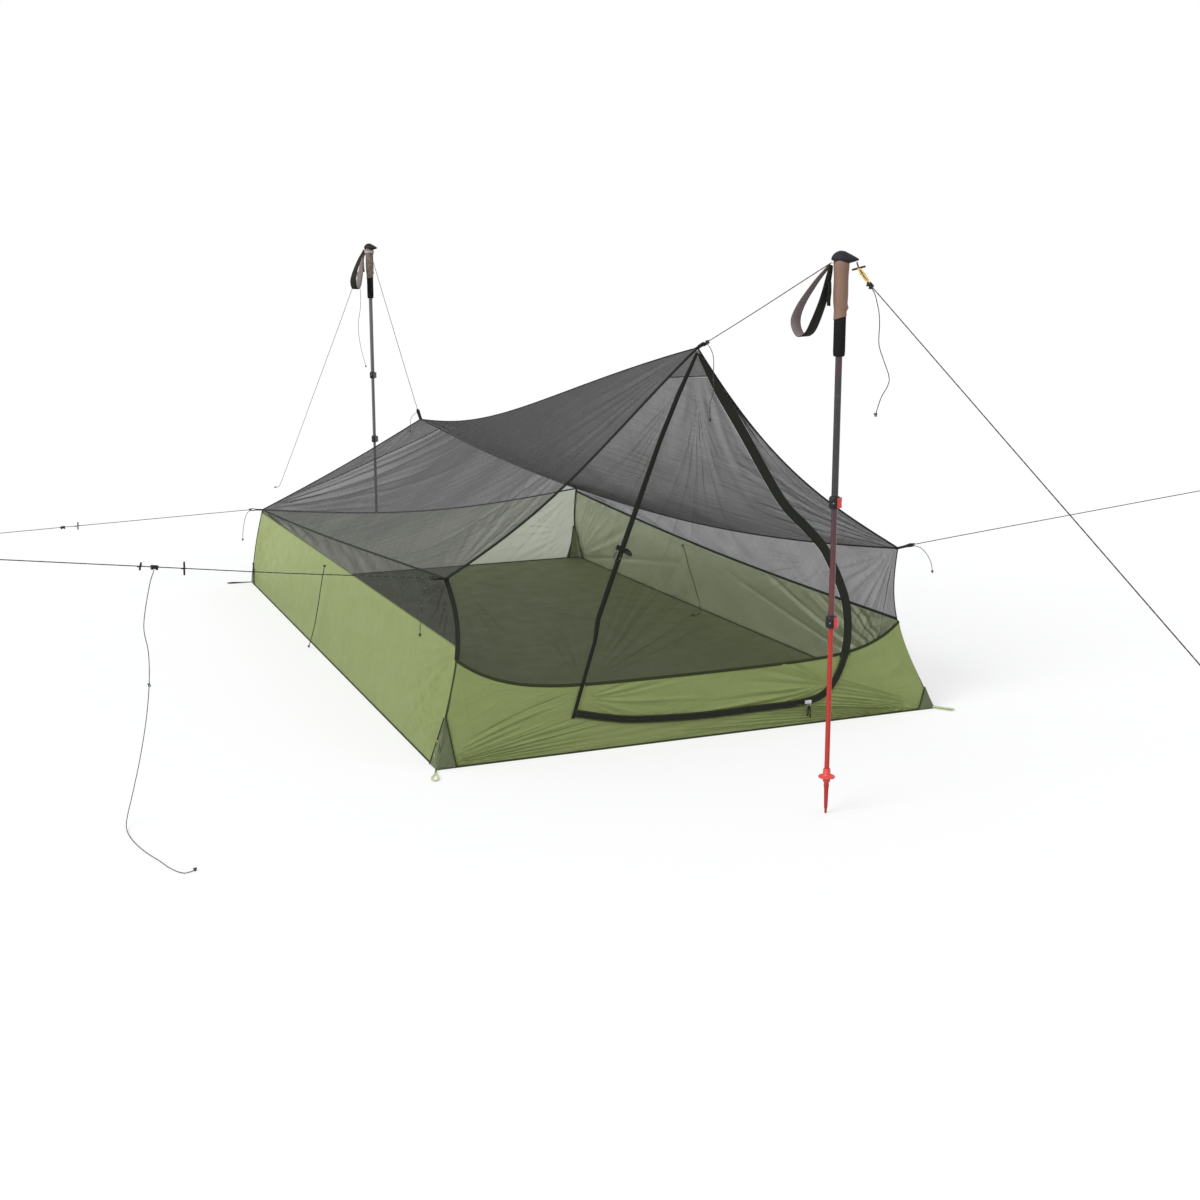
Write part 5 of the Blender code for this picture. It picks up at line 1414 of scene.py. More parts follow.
def make_seams():
    s, d = SEAMS, DOOR
    width = sizes().seam_width
    corner = sizes().corner_tape_width
    left, right, front, up = (-0.8, -0.6, 0.1), (0.8, -0.6, 0.1), (0, -1, 0.05), (0, 0, 1)
    black, green = "seam_tape", "hem"
    for name, curve, wide, out, finish in (
        ("left_front_corner_tape", stretch(s["left_corner"], s["left_sill"], 1), corner, left, black),
        ("left_front_corner_seam", stretch(s["left_corner"], 0, s["left_sill"]), width, left, green),
        ("right_front_corner_tape", stretch(s["right_corner"], s["right_sill"], 1), width, right, black),
        ("right_front_corner_seam", stretch(s["right_corner"], 0, s["right_sill"]), width, right, green),
        ("ridge_seam", s["ridge"], width * 0.8, up, black),
        ("left_front_edge_seam", s["left_edge"], width, (-0.5, -0.6, 0.6), black),
        ("right_front_edge_seam", s["right_edge"], width, (0.5, -0.6, 0.6), black),
        ("left_eave_seam", s["left_eave"], width * 0.8, (-0.7, 0, 0.7), black),
        ("right_eave_seam", s["right_eave"], width * 0.8, (0.7, 0, 0.7), black),
        ("rear_left_edge_seam", s["rear_left_edge"], width * 0.8, (-0.4, 0.7, 0.6), black),
        ("rear_right_edge_seam", s["rear_right_edge"], width * 0.8, (0.4, 0.7, 0.6), black),
        ("left_wall_seam", s["left_green"], width * 0.6, (-1, 0, 0.1), "pale_seam"),
        ("right_wall_seam", s["right_green"], width * 1.2, (1, 0, 0.1), black),
        ("rear_wall_seam", s["rear_green"], width * 0.8, (0, 1, 0.1), black),
        ("rear_left_corner_seam", s["rear_left_corner"], width * 0.8, (-0.7, 0.7, 0), green),
        ("rear_right_corner_seam", s["rear_right_corner"], width * 1.3, (0.7, 0.7, 0), black),
    ):
        binding(name, curve, wide, SEAM_THICKNESS, out, finish)
    for name, a, b, out in (
        ("front_hem", FRONT_LEFT, FRONT_RIGHT, (0, -1, 0.4)),
        ("rear_hem", REAR_LEFT, REAR_RIGHT, (0, 1, 0.4)),
        ("left_hem", FRONT_LEFT, REAR_LEFT, (-1, 0, 0.4)),
        ("right_hem", FRONT_RIGHT, REAR_RIGHT, (1, 0, 0.4)),
    ):
        binding(name, moved(sloped(a, b), (0, 0, 0.0022)), 0.0045, 0.0024, out, "hem")
    for name, start, stop, body in (
        ("left_sill_seam", s["left_low"].x, d["hinge_low"].x, "root"),
        ("door_sill_seam", d["axis"](d["hinge_sill"]).x + 0.004, d["zip_low"].x - 0.0135, "door"),
        ("right_sill_seam", d["zip_low"].x + 0.0125, s["right_low"].x, "root"),
    ):
        binding(name, sill_seam(start, stop), width * 1.3, 0.0020, front, "hem", body)
    foot = moved(sloped(s["left_edge"](s["left_high"]), s["right_edge"](s["right_high"])), (0, -0.0030, 0))
    binding("gusset_seam", foot, 0.0022, 0.0010, front, "seam_tape", count=16)


def make_zip():
    """The sewn side's tape, and the zip's tapes, borders, teeth and slider."""
    d = DOOR
    zip_line = d["zip"]
    wide = sizes().zip_tape_width
    border = 0.0035
    forward = (0, -ZIP_FORWARD, 0)
    steps = 110
    points = along(moved(stretch(d["hinge"], -0.014, 0.992), forward), steps)
    widths = np.interp(np.linspace(0, 1, steps + 1), *zip(*HINGE_TAPE_SHARES))
    section = flat_section(sizes().hinge_tape_width, TAPE_THICKNESS)
    shape = swept_bmesh(points, section, (0, -1, 0), widths)
    fold_at_hinge(piece("door_hinge_tape", shape, "seam_tape", None, 50))
    inner, outer = -wide / 2 - 0.0008, wide / 2 + 0.0008
    for name, offset, width, body, finish in (
        ("zip_tape_inner", inner, wide, "door", "zip_tape"),
        ("zip_tape_outer", outer, wide, "root", "zip_tape"),
        ("zip_border_inner", inner - (wide + border) / 2, border, "door", "hem"),
        ("zip_border_outer", outer + (wide + border) / 2, border, "root", "hem"),
    ):
        curve = moved(beside(zip_line, offset, 0.0, d["at_sill"]), forward)
        binding(name, curve, width, TAPE_THICKNESS, (0, -1, 0), finish, body, 150)
    teeth = bmesh.new()
    path = stretch(zip_line, 0.006, d["at_sill"])
    count = 330
    for k in range(count):
        t = (k + 0.5) / count
        way = path(t + 0.002) - path(t - 0.002)
        turn = facing(way, Vector((0, -1, 0)))
        side = turn.to_3x3() @ Vector((0, 0.0006 * (-1) ** k, 0))
        matrix = Matrix.Translation(path(t) + Vector(forward) + side) @ turn
        add_block(teeth, (0.0018, 0.0017, 0.0016), matrix)
    piece("zip_teeth", teeth, "plastic", angle=20)
    make_slider()
    make_door_tie()


def make_slider():
    """The zip's slider, with a bare pull ring and two loops of cord to hold it by."""
    place = on_front(SLIDER_X, SLIDER_Z) + Vector((0, -0.0100, 0))
    bm = bmesh.new()
    for shift, size, bevel in (
        ((0, 0.0012, 0), (0.0180, 0.0016, 0.0088), 0.0007),
        ((0, -0.0022, 0), (0.0180, 0.0016, 0.0088), 0.0007),
        ((-0.0050, -0.0006, 0), (0.0040, 0.0040, 0.0050), 0.0005),
    ):
        add_block(bm, size, Matrix.Translation(place + Vector(shift)), bevel)
    body = piece("zip_slider_body", bm, "steel", "zip_slider", 30)
    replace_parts(body, "zip_slider")
    bridge = [place + Vector((x, -0.0030 - y, 0)) for x, y in (
        (-0.0065, 0.0), (-0.0060, 0.0020), (-0.0020, 0.0034), (0.0020, 0.0034), (0.0060, 0.0020),
        (0.0065, 0.0))]
    strand("zip_slider_bridge", bridge, 3, flat_section(0.0034, 0.0012), "steel", "zip_slider")
    ring = [place + Vector((0.0036 * math.sin(a), -0.0056, -0.0040 - 0.0052 * math.cos(a)))
            for a in np.linspace(0, 2 * math.pi, 25)]
    piece("zip_pull", swept_bmesh(ring, round_section(0.0013)), "steel", "zip_slider")
    down = [(-1, share) for share in (0.0, 0.25, 0.6, 0.9)]
    up_again = [(1, share) for share in (1.0, 0.9, 0.6, 0.25, 0.0)]
    for name, lean, long in (("first", 0.0040, 0.034), ("second", -0.0050, 0.028)):
        loop = []
        for side, share in (*down, *up_again):
            across = lean * share + 0.0030 * side * math.sin(math.pi * share)
            loop.append(place + Vector((across, -0.0066, -0.007 - long * share)))
        strand(f"zip_pull_loop_{name}", loop, 5, round_section(0.0024), "webbing", "zip_slider")


def make_door_tie():
    """A tab and loop on the sewn side, which hold the rolled door."""
    place = DOOR["hinge"](fraction_where(DOOR["hinge"], lambda q: q.z >= 0.483)) + Vector((0, -0.0035, 0))
    path = [place + Vector(q) for q in ((-0.012, 0, 0.014), (0.0, -0.001, 0.008), (0.014, -0.002, 0.002),
                                        (0.022, -0.003, -0.006))]
    strand("door_tie_tab", path, 5, flat_section(0.012, 0.0016), "webbing", out=(0, -1, 0))
    loop = [place + Vector(q) for q in ((-0.006, -0.002, 0.006), (-0.017, -0.004, -0.002),
                                        (-0.020, -0.004, -0.014), (-0.012, -0.004, -0.020),
                                        (-0.002, -0.003, -0.013), (0.000, -0.002, -0.002))]
    strand("door_tie_loop", loop, 6, round_section(0.0026), "cord")
    bm = bmesh.new()
    add_disc(bm, 0.0045, 0.020, Matrix.Translation(place + Vector((0.016, -0.007, -0.003)))
             @ Matrix.Rotation(0.5, 4, "Y") @ Matrix.Rotation(math.pi / 2, 4, "Y"), 14)
    piece("door_tie_toggle", bm, "plastic")


# Corner patches, tabs and buckles


def make_corner_patches():
    right, back = Vector((1, 0, 0)), Vector((0, 1, 0))
    corners = (
        ("front_left", "left_corner", right, back, 0.115, Vector((-0.35, -1, 0)), "stake_loop", True),
        ("front_right", "right_corner", -right, back, 0.055, Vector((0.6, -0.8, 0)), "stake_loop", False),
        ("rear_left", "rear_left_corner", right, -back, 0.075, Vector((-1, 0.15, 0)), "webbing", True),
        ("rear_right", "rear_right_corner", -right, -back, 0.110, Vector((1, 0.5, 0)), "webbing", True),
    )
    for name, seam_name, across, behind, height, pull, loop_finish, ring in corners:
        out = -(across + behind).normalized()
        patch = corner_patch(f"{name}_patch", SEAMS[seam_name], height, across, behind, out * PATCH_OUT)
        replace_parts(patch, f"{name}_corner_patch")
        make_stake_loop(name, SEAMS[seam_name](0) + out * PATCH_OUT, pull.normalized(), loop_finish, ring)
        if name == "rear_right":
            corner_patch("rear_right_inner_patch", SEAMS[seam_name], 0.132, across, behind,
                         -out * PATCH_OUT, -1)


def corner_patch(name, corner_seam, height, across, behind, shift, side=1):
    """A kite of cloth folded round the corner, widest at the floor, with bound edges."""
    top = fraction_where(corner_seam, lambda q: q.z >= height)
    out = shift.copy()
    shift = shift + Vector((0, 0, 0.0022))
    reach = PATCH_REACH if side > 0 else PATCH_REACH * 0.72
    low, high = corner_seam(0) + shift, corner_seam(top) + shift
    near, far = low + across * reach, low + behind * reach
    foot = chained((0.5, sloped(near, low)), (1.0, sloped(low, far)))
    head = chained((0.5, sloped(high + across * 0.004, high)), (1.0, sloped(high, high + behind * 0.004)))
    sides = [sloped(foot(end), head(end)) for end in (0, 1)]
    rows = coons((foot, head, *sides), (28, 26))
    bulge = ripples(rows, 0.05, 0.0012, len(name))
    mesh = grid_mesh(f"{name}_cloth", rows + facing_out(rows) * bulge[..., None])
    if mesh.polygons[100].normal.dot(mesh.polygons[100].center - MIDDLE) * side < 0:
        mesh.flip_normals()
    patch = piece(f"{name}_cloth", mesh, "patch" if side > 0 else "inner_patch", angle=180)
    thickened(patch, 0.0012)
    for edge, curve, facing_way in (("near", sides[0], -behind), ("far", sides[1], -across)):
        binding(f"{name}_{edge}_edge", moved(curve, out * 0.4), 0.0030, TAPE_THICKNESS,
                tuple(facing_way * side + out), "hem", count=20)
    return patch


def make_stake_loop(name, start, way, finish, ring):
    """Webbing that leaves a floor corner and comes back, lying on the ground."""
    side = Vector((0, 0, 1)).cross(way)
    lift = Vector((0, 0, 0.0030))
    if ring:
        steps = ((0.0, 0.0), (0.034, 0.002), (0.058, 0.007), (0.074, 0.007), (0.084, 0.0), (0.074, -0.007),
                 (0.058, -0.007), (0.034, -0.002), (0.0, 0.0))
        route = [start + way * ahead + side * aside + lift for ahead, aside in steps]
        section, out = flat_section(0.0042, 0.0022), (0, 0, 1)
    else:
        steps = ((-0.004, 1.0), (0.020, 1.0), (0.048, 1.0), (0.052, 1.5), (0.048, 2.1), (0.020, 2.0),
                 (-0.004, 2.0))
        route = [start + way * ahead + lift * height for ahead, height in steps]
        section, out = flat_section(0.012, 0.0012), tuple(lift)
    strand(f"{name}_stake_webbing", route, 6, section, finish, out=out)


def make_tab(name, node, start, stop, wide=0.012):
    """A loop of webbing sewn into a corner, with the cord's knot in it."""
    way = (stop - start).normalized()
    side = Vector((0, 0, 1)).cross(way).normalized()
    up = way.cross(side)
    reach = (stop - start).length
    route = [start - way * 0.006 + up * 0.0012, start + way * reach * 0.5 + up * 0.0016,
             stop - way * 0.004 + up * 0.0034, stop - way * 0.0005, stop - way * 0.004 - up * 0.0034,
             start + way * reach * 0.5 - up * 0.0016, start - way * 0.006 - up * 0.0012]
    ways = unit(np.gradient(np.array(smooth_samples(route, 6)), axis=0))
    flat = unit(np.cross(np.array(side), ways))
    strap = strand(f"{name}_webbing", route, 6, flat_section(wide, TAPE_THICKNESS), "webbing", out=flat)
    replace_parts(strap, node)
    knot(f"{name}_knot", stop + way * 0.002, 0.009, GUY)
    bm = bmesh.new()
    for share in (0.30, 0.42):
        add_block(bm, (0.0012, wide * 0.86, 0.0052),
                  Matrix.Translation(start.lerp(stop, share)) @ facing(way), 0.0003, 1)
    piece(f"{name}_bar_tack", bm, "webbing", angle=20)


def make_tabs():
    for name, corner, route in (
        ("front_left_tab", FRONT_LEFT_TOP, FRONT_LEFT_GUY),
        ("front_right_tab", FRONT_RIGHT_TOP, FRONT_RIGHT_GUY),
        ("rear_left_tab", REAR_LEFT_TOP, REAR_LEFT_GUY),
    ):
        make_tab(f"{name}_loop", name, corner, Vector(route[0]))
    way = Vector((0.9, 0.35, 0)).normalized()
    make_tab("rear_right_tab_loop", "rear_right_tab", REAR_RIGHT_TOP, REAR_RIGHT_TOP + way * 0.036)
    make_tab("rear_peak_tab_loop", "rear_peak_tab", RIDGE_END, Vector(REAR_RIDGE_CORD[0]), 0.011)
    make_peak_buckle()
    make_corner_buckle()


def make_ladder_buckle(name, matrix, long, wide):
    """A ladder-lock frame: two rails and three bars."""
    bm = bmesh.new()
    rail, bar = 0.0032, 0.0034
    for side in (-1, 1):
        spot = (0, side * (wide - rail) / 2, 0)
        add_block(bm, (long, rail, 0.0038), matrix @ Matrix.Translation(spot), 0.0008)
    for share, lift in ((-0.46, 0.0), (0.0, 0.0010), (0.46, 0.0)):
        spot = (share * (long - bar), 0, lift)
        add_block(bm, (bar, wide - rail, 0.0034), matrix @ Matrix.Translation(spot), 0.0008)
    return piece(name, bm, "plastic", angle=30)


def make_peak_buckle():
    """The buckle between the peak and the front ridge cord."""
    first, second = Vector(FRONT_RIDGE_CORD[0]), Vector(FRONT_RIDGE_CORD[1])
    way = (first - PEAK).normalized()
    route = [PEAK + way * ahead for ahead in (-0.004, 0.010, 0.026)]
    strand("peak_buckle_webbing", route, 5, flat_section(0.012, 0.003), "webbing", out=(0, 0, 1))
    stand = Matrix.Translation(PEAK + way * 0.033) @ facing(way)
    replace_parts(make_ladder_buckle("peak_buckle_frame", stand, 0.030, 0.019), "peak_buckle")
    knot("peak_buckle_knot", first + (second - first).normalized() * 0.003, 0.010, GUY)


def make_corner_buckle():
    way = (Vector(FRONT_RIGHT_GUY[0]) - FRONT_RIGHT_TOP).normalized()
    stand = Matrix.Translation(FRONT_RIGHT_TOP + way * 0.030) @ facing(way)
    make_ladder_buckle("front_right_buckle", stand, 0.022, 0.016)


# Line locks and toggles


def make_line_locks():
    for name, spot, way in (
        ("front_line_lock", (0.02305, -1.8850, 1.1359), (-0.0182, -0.8810, -0.4729)),
        ("front_left_line_lock", (-1.320, -1.2372, 0.5442), (-0.9661, -0.2047, 0.1564)),
        ("rear_left_line_lock", (-1.275, 1.3041, 0.2283), (-0.9636, 0.2566, -0.0743)),
    ):
        slot, wall = 0.0019, 0.0028
        rim = slot + wall
        turns = [math.radians(a) for a in range(35, 326, 29)]
        outside = [(rim * 1.05 * math.cos(a), rim * 1.05 * math.sin(a)) for a in turns]
        inside = [(slot * math.cos(a), slot * math.sin(a)) for a in reversed(turns)]
        turn = facing(way) @ Matrix.Rotation(math.pi / 2, 4, "Y") @ Matrix.Rotation(math.pi, 4, "Z")
        stand = Matrix.Translation(spot) @ turn
        cleat = piece(f"{name}_cleat", plate_bmesh([*outside, *inside], 0.015, stand), "plastic", name, 30)
        softened(cleat, 0.0006)
        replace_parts(cleat, name)
        bm = bmesh.new()
        add_block(bm, (0.0030, 0.0090, 0.0030), stand @ Matrix.Translation((-rim, 0, 0.0055)), 0.0006)
        add_block(bm, (0.0030, 0.0090, 0.0030), stand @ Matrix.Translation((-rim, 0, -0.0055)), 0.0006)
        piece(f"{name}_teeth", bm, "plastic", name, 30)


def add_toggle(name, spot, way, long, cross):
    """A bar toggle across the cord with a hook through it."""
    spot, way, cross = Vector(spot), Vector(way).normalized(), Vector(cross).normalized()
    bar = [spot + cross * long * share for share in (-0.5, -0.46, -0.2, 0, 0.2, 0.46, 0.5)]
    shape = swept_bmesh(bar, round_section(0.0044, 12), scale=(0.45, 0.9, 1, 0.85, 1, 0.9, 0.45))
    piece(f"{name}_bar", shape, "plastic", angle=50)
    lift = way.cross(cross).normalized()
    hook = [spot + way * a + lift * b for a, b in (
        (0.010, -0.0105), (0.006, -0.0075), (0.002, -0.002), (-0.003, 0.004), (-0.007, 0.0085),
        (-0.0045, 0.0120))]
    strand(f"{name}_hook", hook, 5, round_section(0.0036, 10), "plastic", angle=50,
           scale=np.linspace(1.0, 0.7, 26))


def make_toggles():
    guy_way = Vector((0.0, -0.82, -0.57))
    top = Vector((0.0235, -1.8385, 1.1680))
    add_toggle("front_toggle", top, guy_way, 0.029, (0.88, -0.37, 0.25))
    end = Vector((0.0231, -1.8815, 1.1380))
    for name, sideways in (("first", 0.0036), ("second", -0.0036)):
        across = Vector((0.92, -0.39, 0)) * sideways
        path = [top + across * 0.4, top.lerp(end, 0.35) + across, top.lerp(end, 0.7) + across * 0.9, end]
        strand(f"yellow_loop_{name}", path, 6, round_section(0.0032), "bright_loop")
    left_way, rear_way = Vector((-0.9661, -0.2047, 0.1564)), Vector((-0.9636, 0.2566, -0.0743))
    add_toggle("front_left_toggle", (-1.256, -1.2237, 0.5338), left_way, 0.030, (0.05, 0.1, 1.0))
    add_toggle("front_left_hook", (-1.350, -1.2435, 0.5490), left_way, 0.018, (0.25, 0.1, 1.0))
    add_toggle("rear_left_toggle", (-1.225, 1.2908, 0.2322), rear_way, 0.028, (0.05, 0.1, 1.0))


# Poles


def make_grip(name, place, cork):
    """A cork grip with a tall rubber head, a strap pin and a foam sleeve."""
    profile = rounded_profile((
        (0.0, 1.1880), (0.0120, 1.1868), (0.0158, 1.1800), (0.0162, 1.1700), (0.0150, 1.1500),
        (0.0152, 1.1300), (0.0154, 1.1150), (0.0147, 1.0980), (0.0132, 1.0840), (0.0134, 1.0740),
        (0.0136, GRIP_FOOT_Z + 0.001)))
    bore = UPPER_TUBE_R + 0.0003
    bm = turned_bmesh([*profile, (bore, GRIP_FOOT_Z + 0.001), (bore, 1.120), (0.0, 1.120)], 40)
    nose = Matrix.Rotation(math.radians(NOSE_TURN), 3, "Z")
    nose_way = nose @ Vector((1, 0, 0))
    for vert in bm.verts:
        z, ahead = vert.co.z, vert.co.xy.dot(nose_way.xy)
        radius = vert.co.xy.length
        if radius > 0.009:
            nub = max(0.0, 1 - abs(z - 1.088) / 0.010) ** 1.5 * max(0.0, ahead / radius) ** 3 * 0.0040
            vert.co.xy *= (radius + nub) / radius
        if z < 1.084:
            vert.co.z += (1.084 - z) / 0.018 * ahead * 0.32
    bmesh.ops.translate(bm, vec=place, verts=bm.verts)
    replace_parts(piece(f"{name}_cork", bm, cork, angle=60), f"{name}_grip")
    head = bmesh.new()
    bmesh.ops.create_uvsphere(head, u_segments=48, v_segments=30, radius=1)
    for vert in head.verts:
        x, y, z = vert.co
        front, back = max(x, 0.0), max(-x, 0.0)
        tall = 0.0172 if z > 0 else 0.0118
        rib = 0.0009 * math.exp(-((x - 0.20) / 0.05) ** 2)
        long = 0.0365 if x > 0 else 0.0215
        wide = 0.0158 * (1 - 0.42 * front**1.8) + rib
        high = tall * (1 - 0.62 * front**1.1) * (1 - 0.12 * back**2) + rib
        vert.co = (x * long, y * wide, z * high - 0.0012 * front**1.5)
    bmesh.ops.rotate(head, matrix=nose, verts=head.verts)
    bmesh.ops.translate(head, vec=place + Vector((0, 0, 1.1858)), verts=head.verts)
    piece(f"{name}_head", head, "rubber", angle=60)
    pin = bmesh.new()
    seat = place + nose @ Vector((-0.0150, 0, 0)) + Vector((0, 0, 1.1800))
    across = facing(nose @ Vector((0, 1, 0))) @ Matrix.Rotation(math.pi / 2, 4, "Y")
    add_disc(pin, 0.0028, 0.0290, Matrix.Translation(seat) @ across, 16)
    piece(f"{name}_strap_pin", pin, "steel", angle=40)
    foam = turned_bmesh((
        (bore, 1.072), (FOAM_R - 0.0015, 1.072), (FOAM_R, 1.069), (FOAM_R - 0.0001, 1.036), (FOAM_R, 1.000),
        (FOAM_R - 0.0006, FOAM_FOOT_Z + 0.002), (FOAM_R - 0.0022, FOAM_FOOT_Z),
        (bore, FOAM_FOOT_Z)), 36, place)
    sleeve = piece(f"{name}_foam", foam, "foam", angle=50)
    softened(sleeve, 0.0006)
    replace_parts(sleeve, f"{name}_foam_sleeve")


def make_strap(name, side, place, turn):
    """The wrist strap: a padded loop from the pin under the head, black outside and lined inside."""
    stand = Matrix.Translation(place + STRAP_SIDE) @ Matrix.Rotation(math.radians(turn), 4, "Z")
    nose = Matrix.Rotation(math.radians(NOSE_TURN), 3, "Z")
    seat = stand.inverted() @ (place + nose @ Vector((-0.0215, 0, 0)))
    flat = smooth_samples([Vector((x, 0, z)) for x, z in STRAP_LOOP], 7)
    count = len(flat)
    centre = Vector((-0.050, 0, 1.080))
    points, outs = [], []
    for i, q in enumerate(flat):
        share = i / (count - 1)
        ahead = (flat[min(i + 1, count - 1)] - flat[max(i - 1, 0)]).normalized()
        out = Vector((ahead.z, 0, -ahead.x))
        if out.dot(q - centre) < 0:
            out = -out
        lean = 0.10 * math.sin(2 * math.pi * share)
        out = Matrix.Rotation(lean, 3, ahead) @ out
        near_top = min(1.0, max(0.0, (q.z - 1.135) / 0.045)) ** 1.5
        aside = Vector((0, -0.002 + 0.004 * share, 0))
        points.append(stand @ (q + aside.lerp(Vector((seat.x, seat.y, 0)), near_top)))
        outs.append(stand.to_3x3() @ out)
    narrow = [0.42 + 0.58 * min(1.0, min(i / 22, (count - 1 - i) / 30)) for i in range(count)]
    shape = swept_bmesh(points, flat_section(sizes().strap_width, 0.0026), np.array(outs), narrow,
                        lined=(0, 1, 2, 3, 4))
    strap = piece(f"{name}_strap", shape, "strap", f"{side}_wrist_strap", 50)
    strap.data.materials.append(material("lining"))
    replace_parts(strap, f"{name}_wrist_strap")
    tail = [stand @ Vector(q) for q in (
        (0.0035, 0.001, 1.140), (0.0045, 0.001, 1.120), (0.0035, 0.000, 1.104), (0.0048, -0.001, 1.092))]
    strand(f"{name}_strap_tail", tail, 4, flat_section(0.010, 0.0016), "strap", f"{side}_wrist_strap",
           out=tuple(stand.to_3x3() @ Vector((1, 0, 0))))


def make_clamp(name, z, tube_radius, place, body, lever_body, finish):
    """A lever clamp: a black collar with an ear and a screw, and its cam lever."""
    half = LOCK_HEIGHT / 2
    bore = tube_radius + 0.0002
    collar = ((bore, half), (0.0095, half), (0.0114, half - 0.003), (0.0120, half - 0.009), (0.0116, 0.0),
              (0.0120, 0.009 - half), (0.0114, 0.003 - half), (0.0095, -half), (bore, -half))
    bm = turned_bmesh(rounded_profile([(r, z + h) for r, h in collar], 3), 36, place)
    piece(f"{name}_collar", bm, "plastic", body)
    start = LEVER_TURN + LEVER_START
    stand = Matrix.Translation(place + Vector((0, 0, z))) @ Matrix.Rotation(math.radians(start), 4, "Z")
    crossways = Matrix.Rotation(math.pi / 2, 4, "X")
    ear = bmesh.new()
    add_block(ear, (0.0062, 0.0056, 0.0180), stand @ Matrix.Translation((0.0112, -0.0026, 0)), 0.0012)
    add_disc(ear, 0.0024, 0.0036, stand @ Matrix.Translation((0.0122, -0.0056, 0)) @ crossways, 16)
    piece(f"{name}_ear", ear, "plastic", body, 30)
    screw = bmesh.new()
    add_disc(screw, 0.0018, 0.0014, stand @ Matrix.Translation((0.0122, -0.0077, 0)) @ crossways, 16)
    piece(f"{name}_screw", screw, "steel", body)
    count = 26
    rows = []
    for i in range(count + 1):
        share = i / count
        angle = math.radians(start + LEVER_SWEEP * share)
        depth = 0.0032 * (1.05 - 0.45 * share) + (0.0010 if share > 0.93 else 0.0)
        tall = LEVER_HEIGHT * (1 - 0.30 * max(share - 0.75, 0) / 0.25)
        inner = LOCK_R + 0.0004
        way = Vector((math.cos(angle), math.sin(angle), 0))
        top = tall / 2
        section = ((0, -top), (0.8, 0.0004 - top), (1, 0.003 - top), (0.82, 0.0), (1, top - 0.003),
                   (0.8, top - 0.0004), (0, top), (0, 0.0), (0, -top))
        rows.append([place + way * (inner + depth * out) + Vector((0, 0, z + h)) for out, h in section])
    lever = mesh_of(f"{name}_lever_blade", closed_rows(np.array(rows).transpose(1, 0, 2)))
    blade = piece(f"{name}_lever_blade", lever, finish, lever_body, 45)
    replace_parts(blade, name.replace("clamp", "lever"))


def closed_rows(rows):
    """A closed solid from rows of points whose first and last rows meet."""
    up, across = rows.shape[0] - 1, rows.shape[1] - 1
    bm = grid_bmesh(across, up)
    for vert in bm.verts:
        i, j = round((vert.co.x + 0.5) * across), round((vert.co.y + 0.5) * up)
        vert.co = rows[j, i]
    bmesh.ops.remove_doubles(bm, verts=bm.verts, dist=0.000005)
    bmesh.ops.holes_fill(bm, edges=[edge for edge in bm.edges if edge.is_boundary], sides=0)
    bmesh.ops.recalc_face_normals(bm, faces=bm.faces)
    return bm


def make_pole(side, y, strap_turn, finishes):
    """A three-section trekking pole, upright with its tip on the ground.

    The finishes are those of the upper, middle and lower tube, the grip and the levers.
    """
    upper, middle, low_end, grip, lever = finishes
    name = f"{side}_pole"
    place = Vector((0, y, 0))
    half = LOCK_HEIGHT / 2
    mid_body, lower = f"{side}_mid_section", f"{side}_lower_section"
    for part, radius, bore, top, lock_z, body, finish in (
        ("upper_tube", UPPER_TUBE_R, UPPER_BORE_R, 1.120, UPPER_LOCK_Z, "root", upper),
        ("mid_tube", MID_TUBE_R, MID_BORE_R, 0.880, LOWER_LOCK_Z, mid_body, middle),
    ):
        low = lock_z - half
        shape = turned_bmesh(((radius, top), (radius, low + 0.001), (radius - 0.0003, low), (bore, low),
                              (bore, top)), 40, place)
        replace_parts(piece(f"{name}_{part}_shell", shape, finish, body), f"{name}_{part}")
    for part, z, radius, body in (
        ("upper", UPPER_LOCK_Z, UPPER_TUBE_R, "root"), ("lower", LOWER_LOCK_Z, MID_TUBE_R, mid_body)):
        make_clamp(f"{name}_{part}_clamp", z, radius, place, body, f"{side}_{part}_lever", lever)
    r, bore = LOWER_TUBE_R, LOWER_BORE_R
    shape = turned_bmesh((
        (r, 0.560), (r, 0.0665), (r + 0.0004, 0.0655), (r + 0.0004, 0.0610), (0.0050, 0.0580),
        (0.0046, 0.0400), (0.0041, 0.0220), (0.0038, 0.0120), (0.0029, 0.0108), (0.0027, 0.0020),
        (0.0018, 0.0), (0.0, 0.0006), (0.0, 0.070), (bore, 0.070), (bore, 0.560)), 36, place)
    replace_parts(piece(f"{name}_lower_tube_shell", shape, low_end, lower), f"{name}_lower_tube")
    z = BASKET_Z
    basket = turned_bmesh((
        (r + 0.0004, z + 0.0180), (0.0072, z + 0.0178), (0.0079, z + 0.0160), (0.0084, z + 0.0060),
        (0.0108, z + 0.0026), (0.0176, z + 0.0012), (0.0185, z - 0.0006), (0.0178, z - 0.0022),
        (0.0108, z - 0.0022), (0.0083, z - 0.0040), (0.0078, z - 0.0116), (r + 0.0004, z - 0.0120)), 48)
    for vert in basket.verts:
        radius = vert.co.xy.length
        if radius > 0.012:
            vert.co.xy *= 1 - 0.09 * max(0.0, math.cos(8 * math.atan2(vert.co.y, vert.co.x))) ** 4
    bmesh.ops.translate(basket, vec=place, verts=basket.verts)
    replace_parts(piece(f"{name}_basket_ring", basket, "basket", lower), f"{name}_basket")
    make_grip(name, place, grip)
    make_strap(name, side, place, strap_turn)


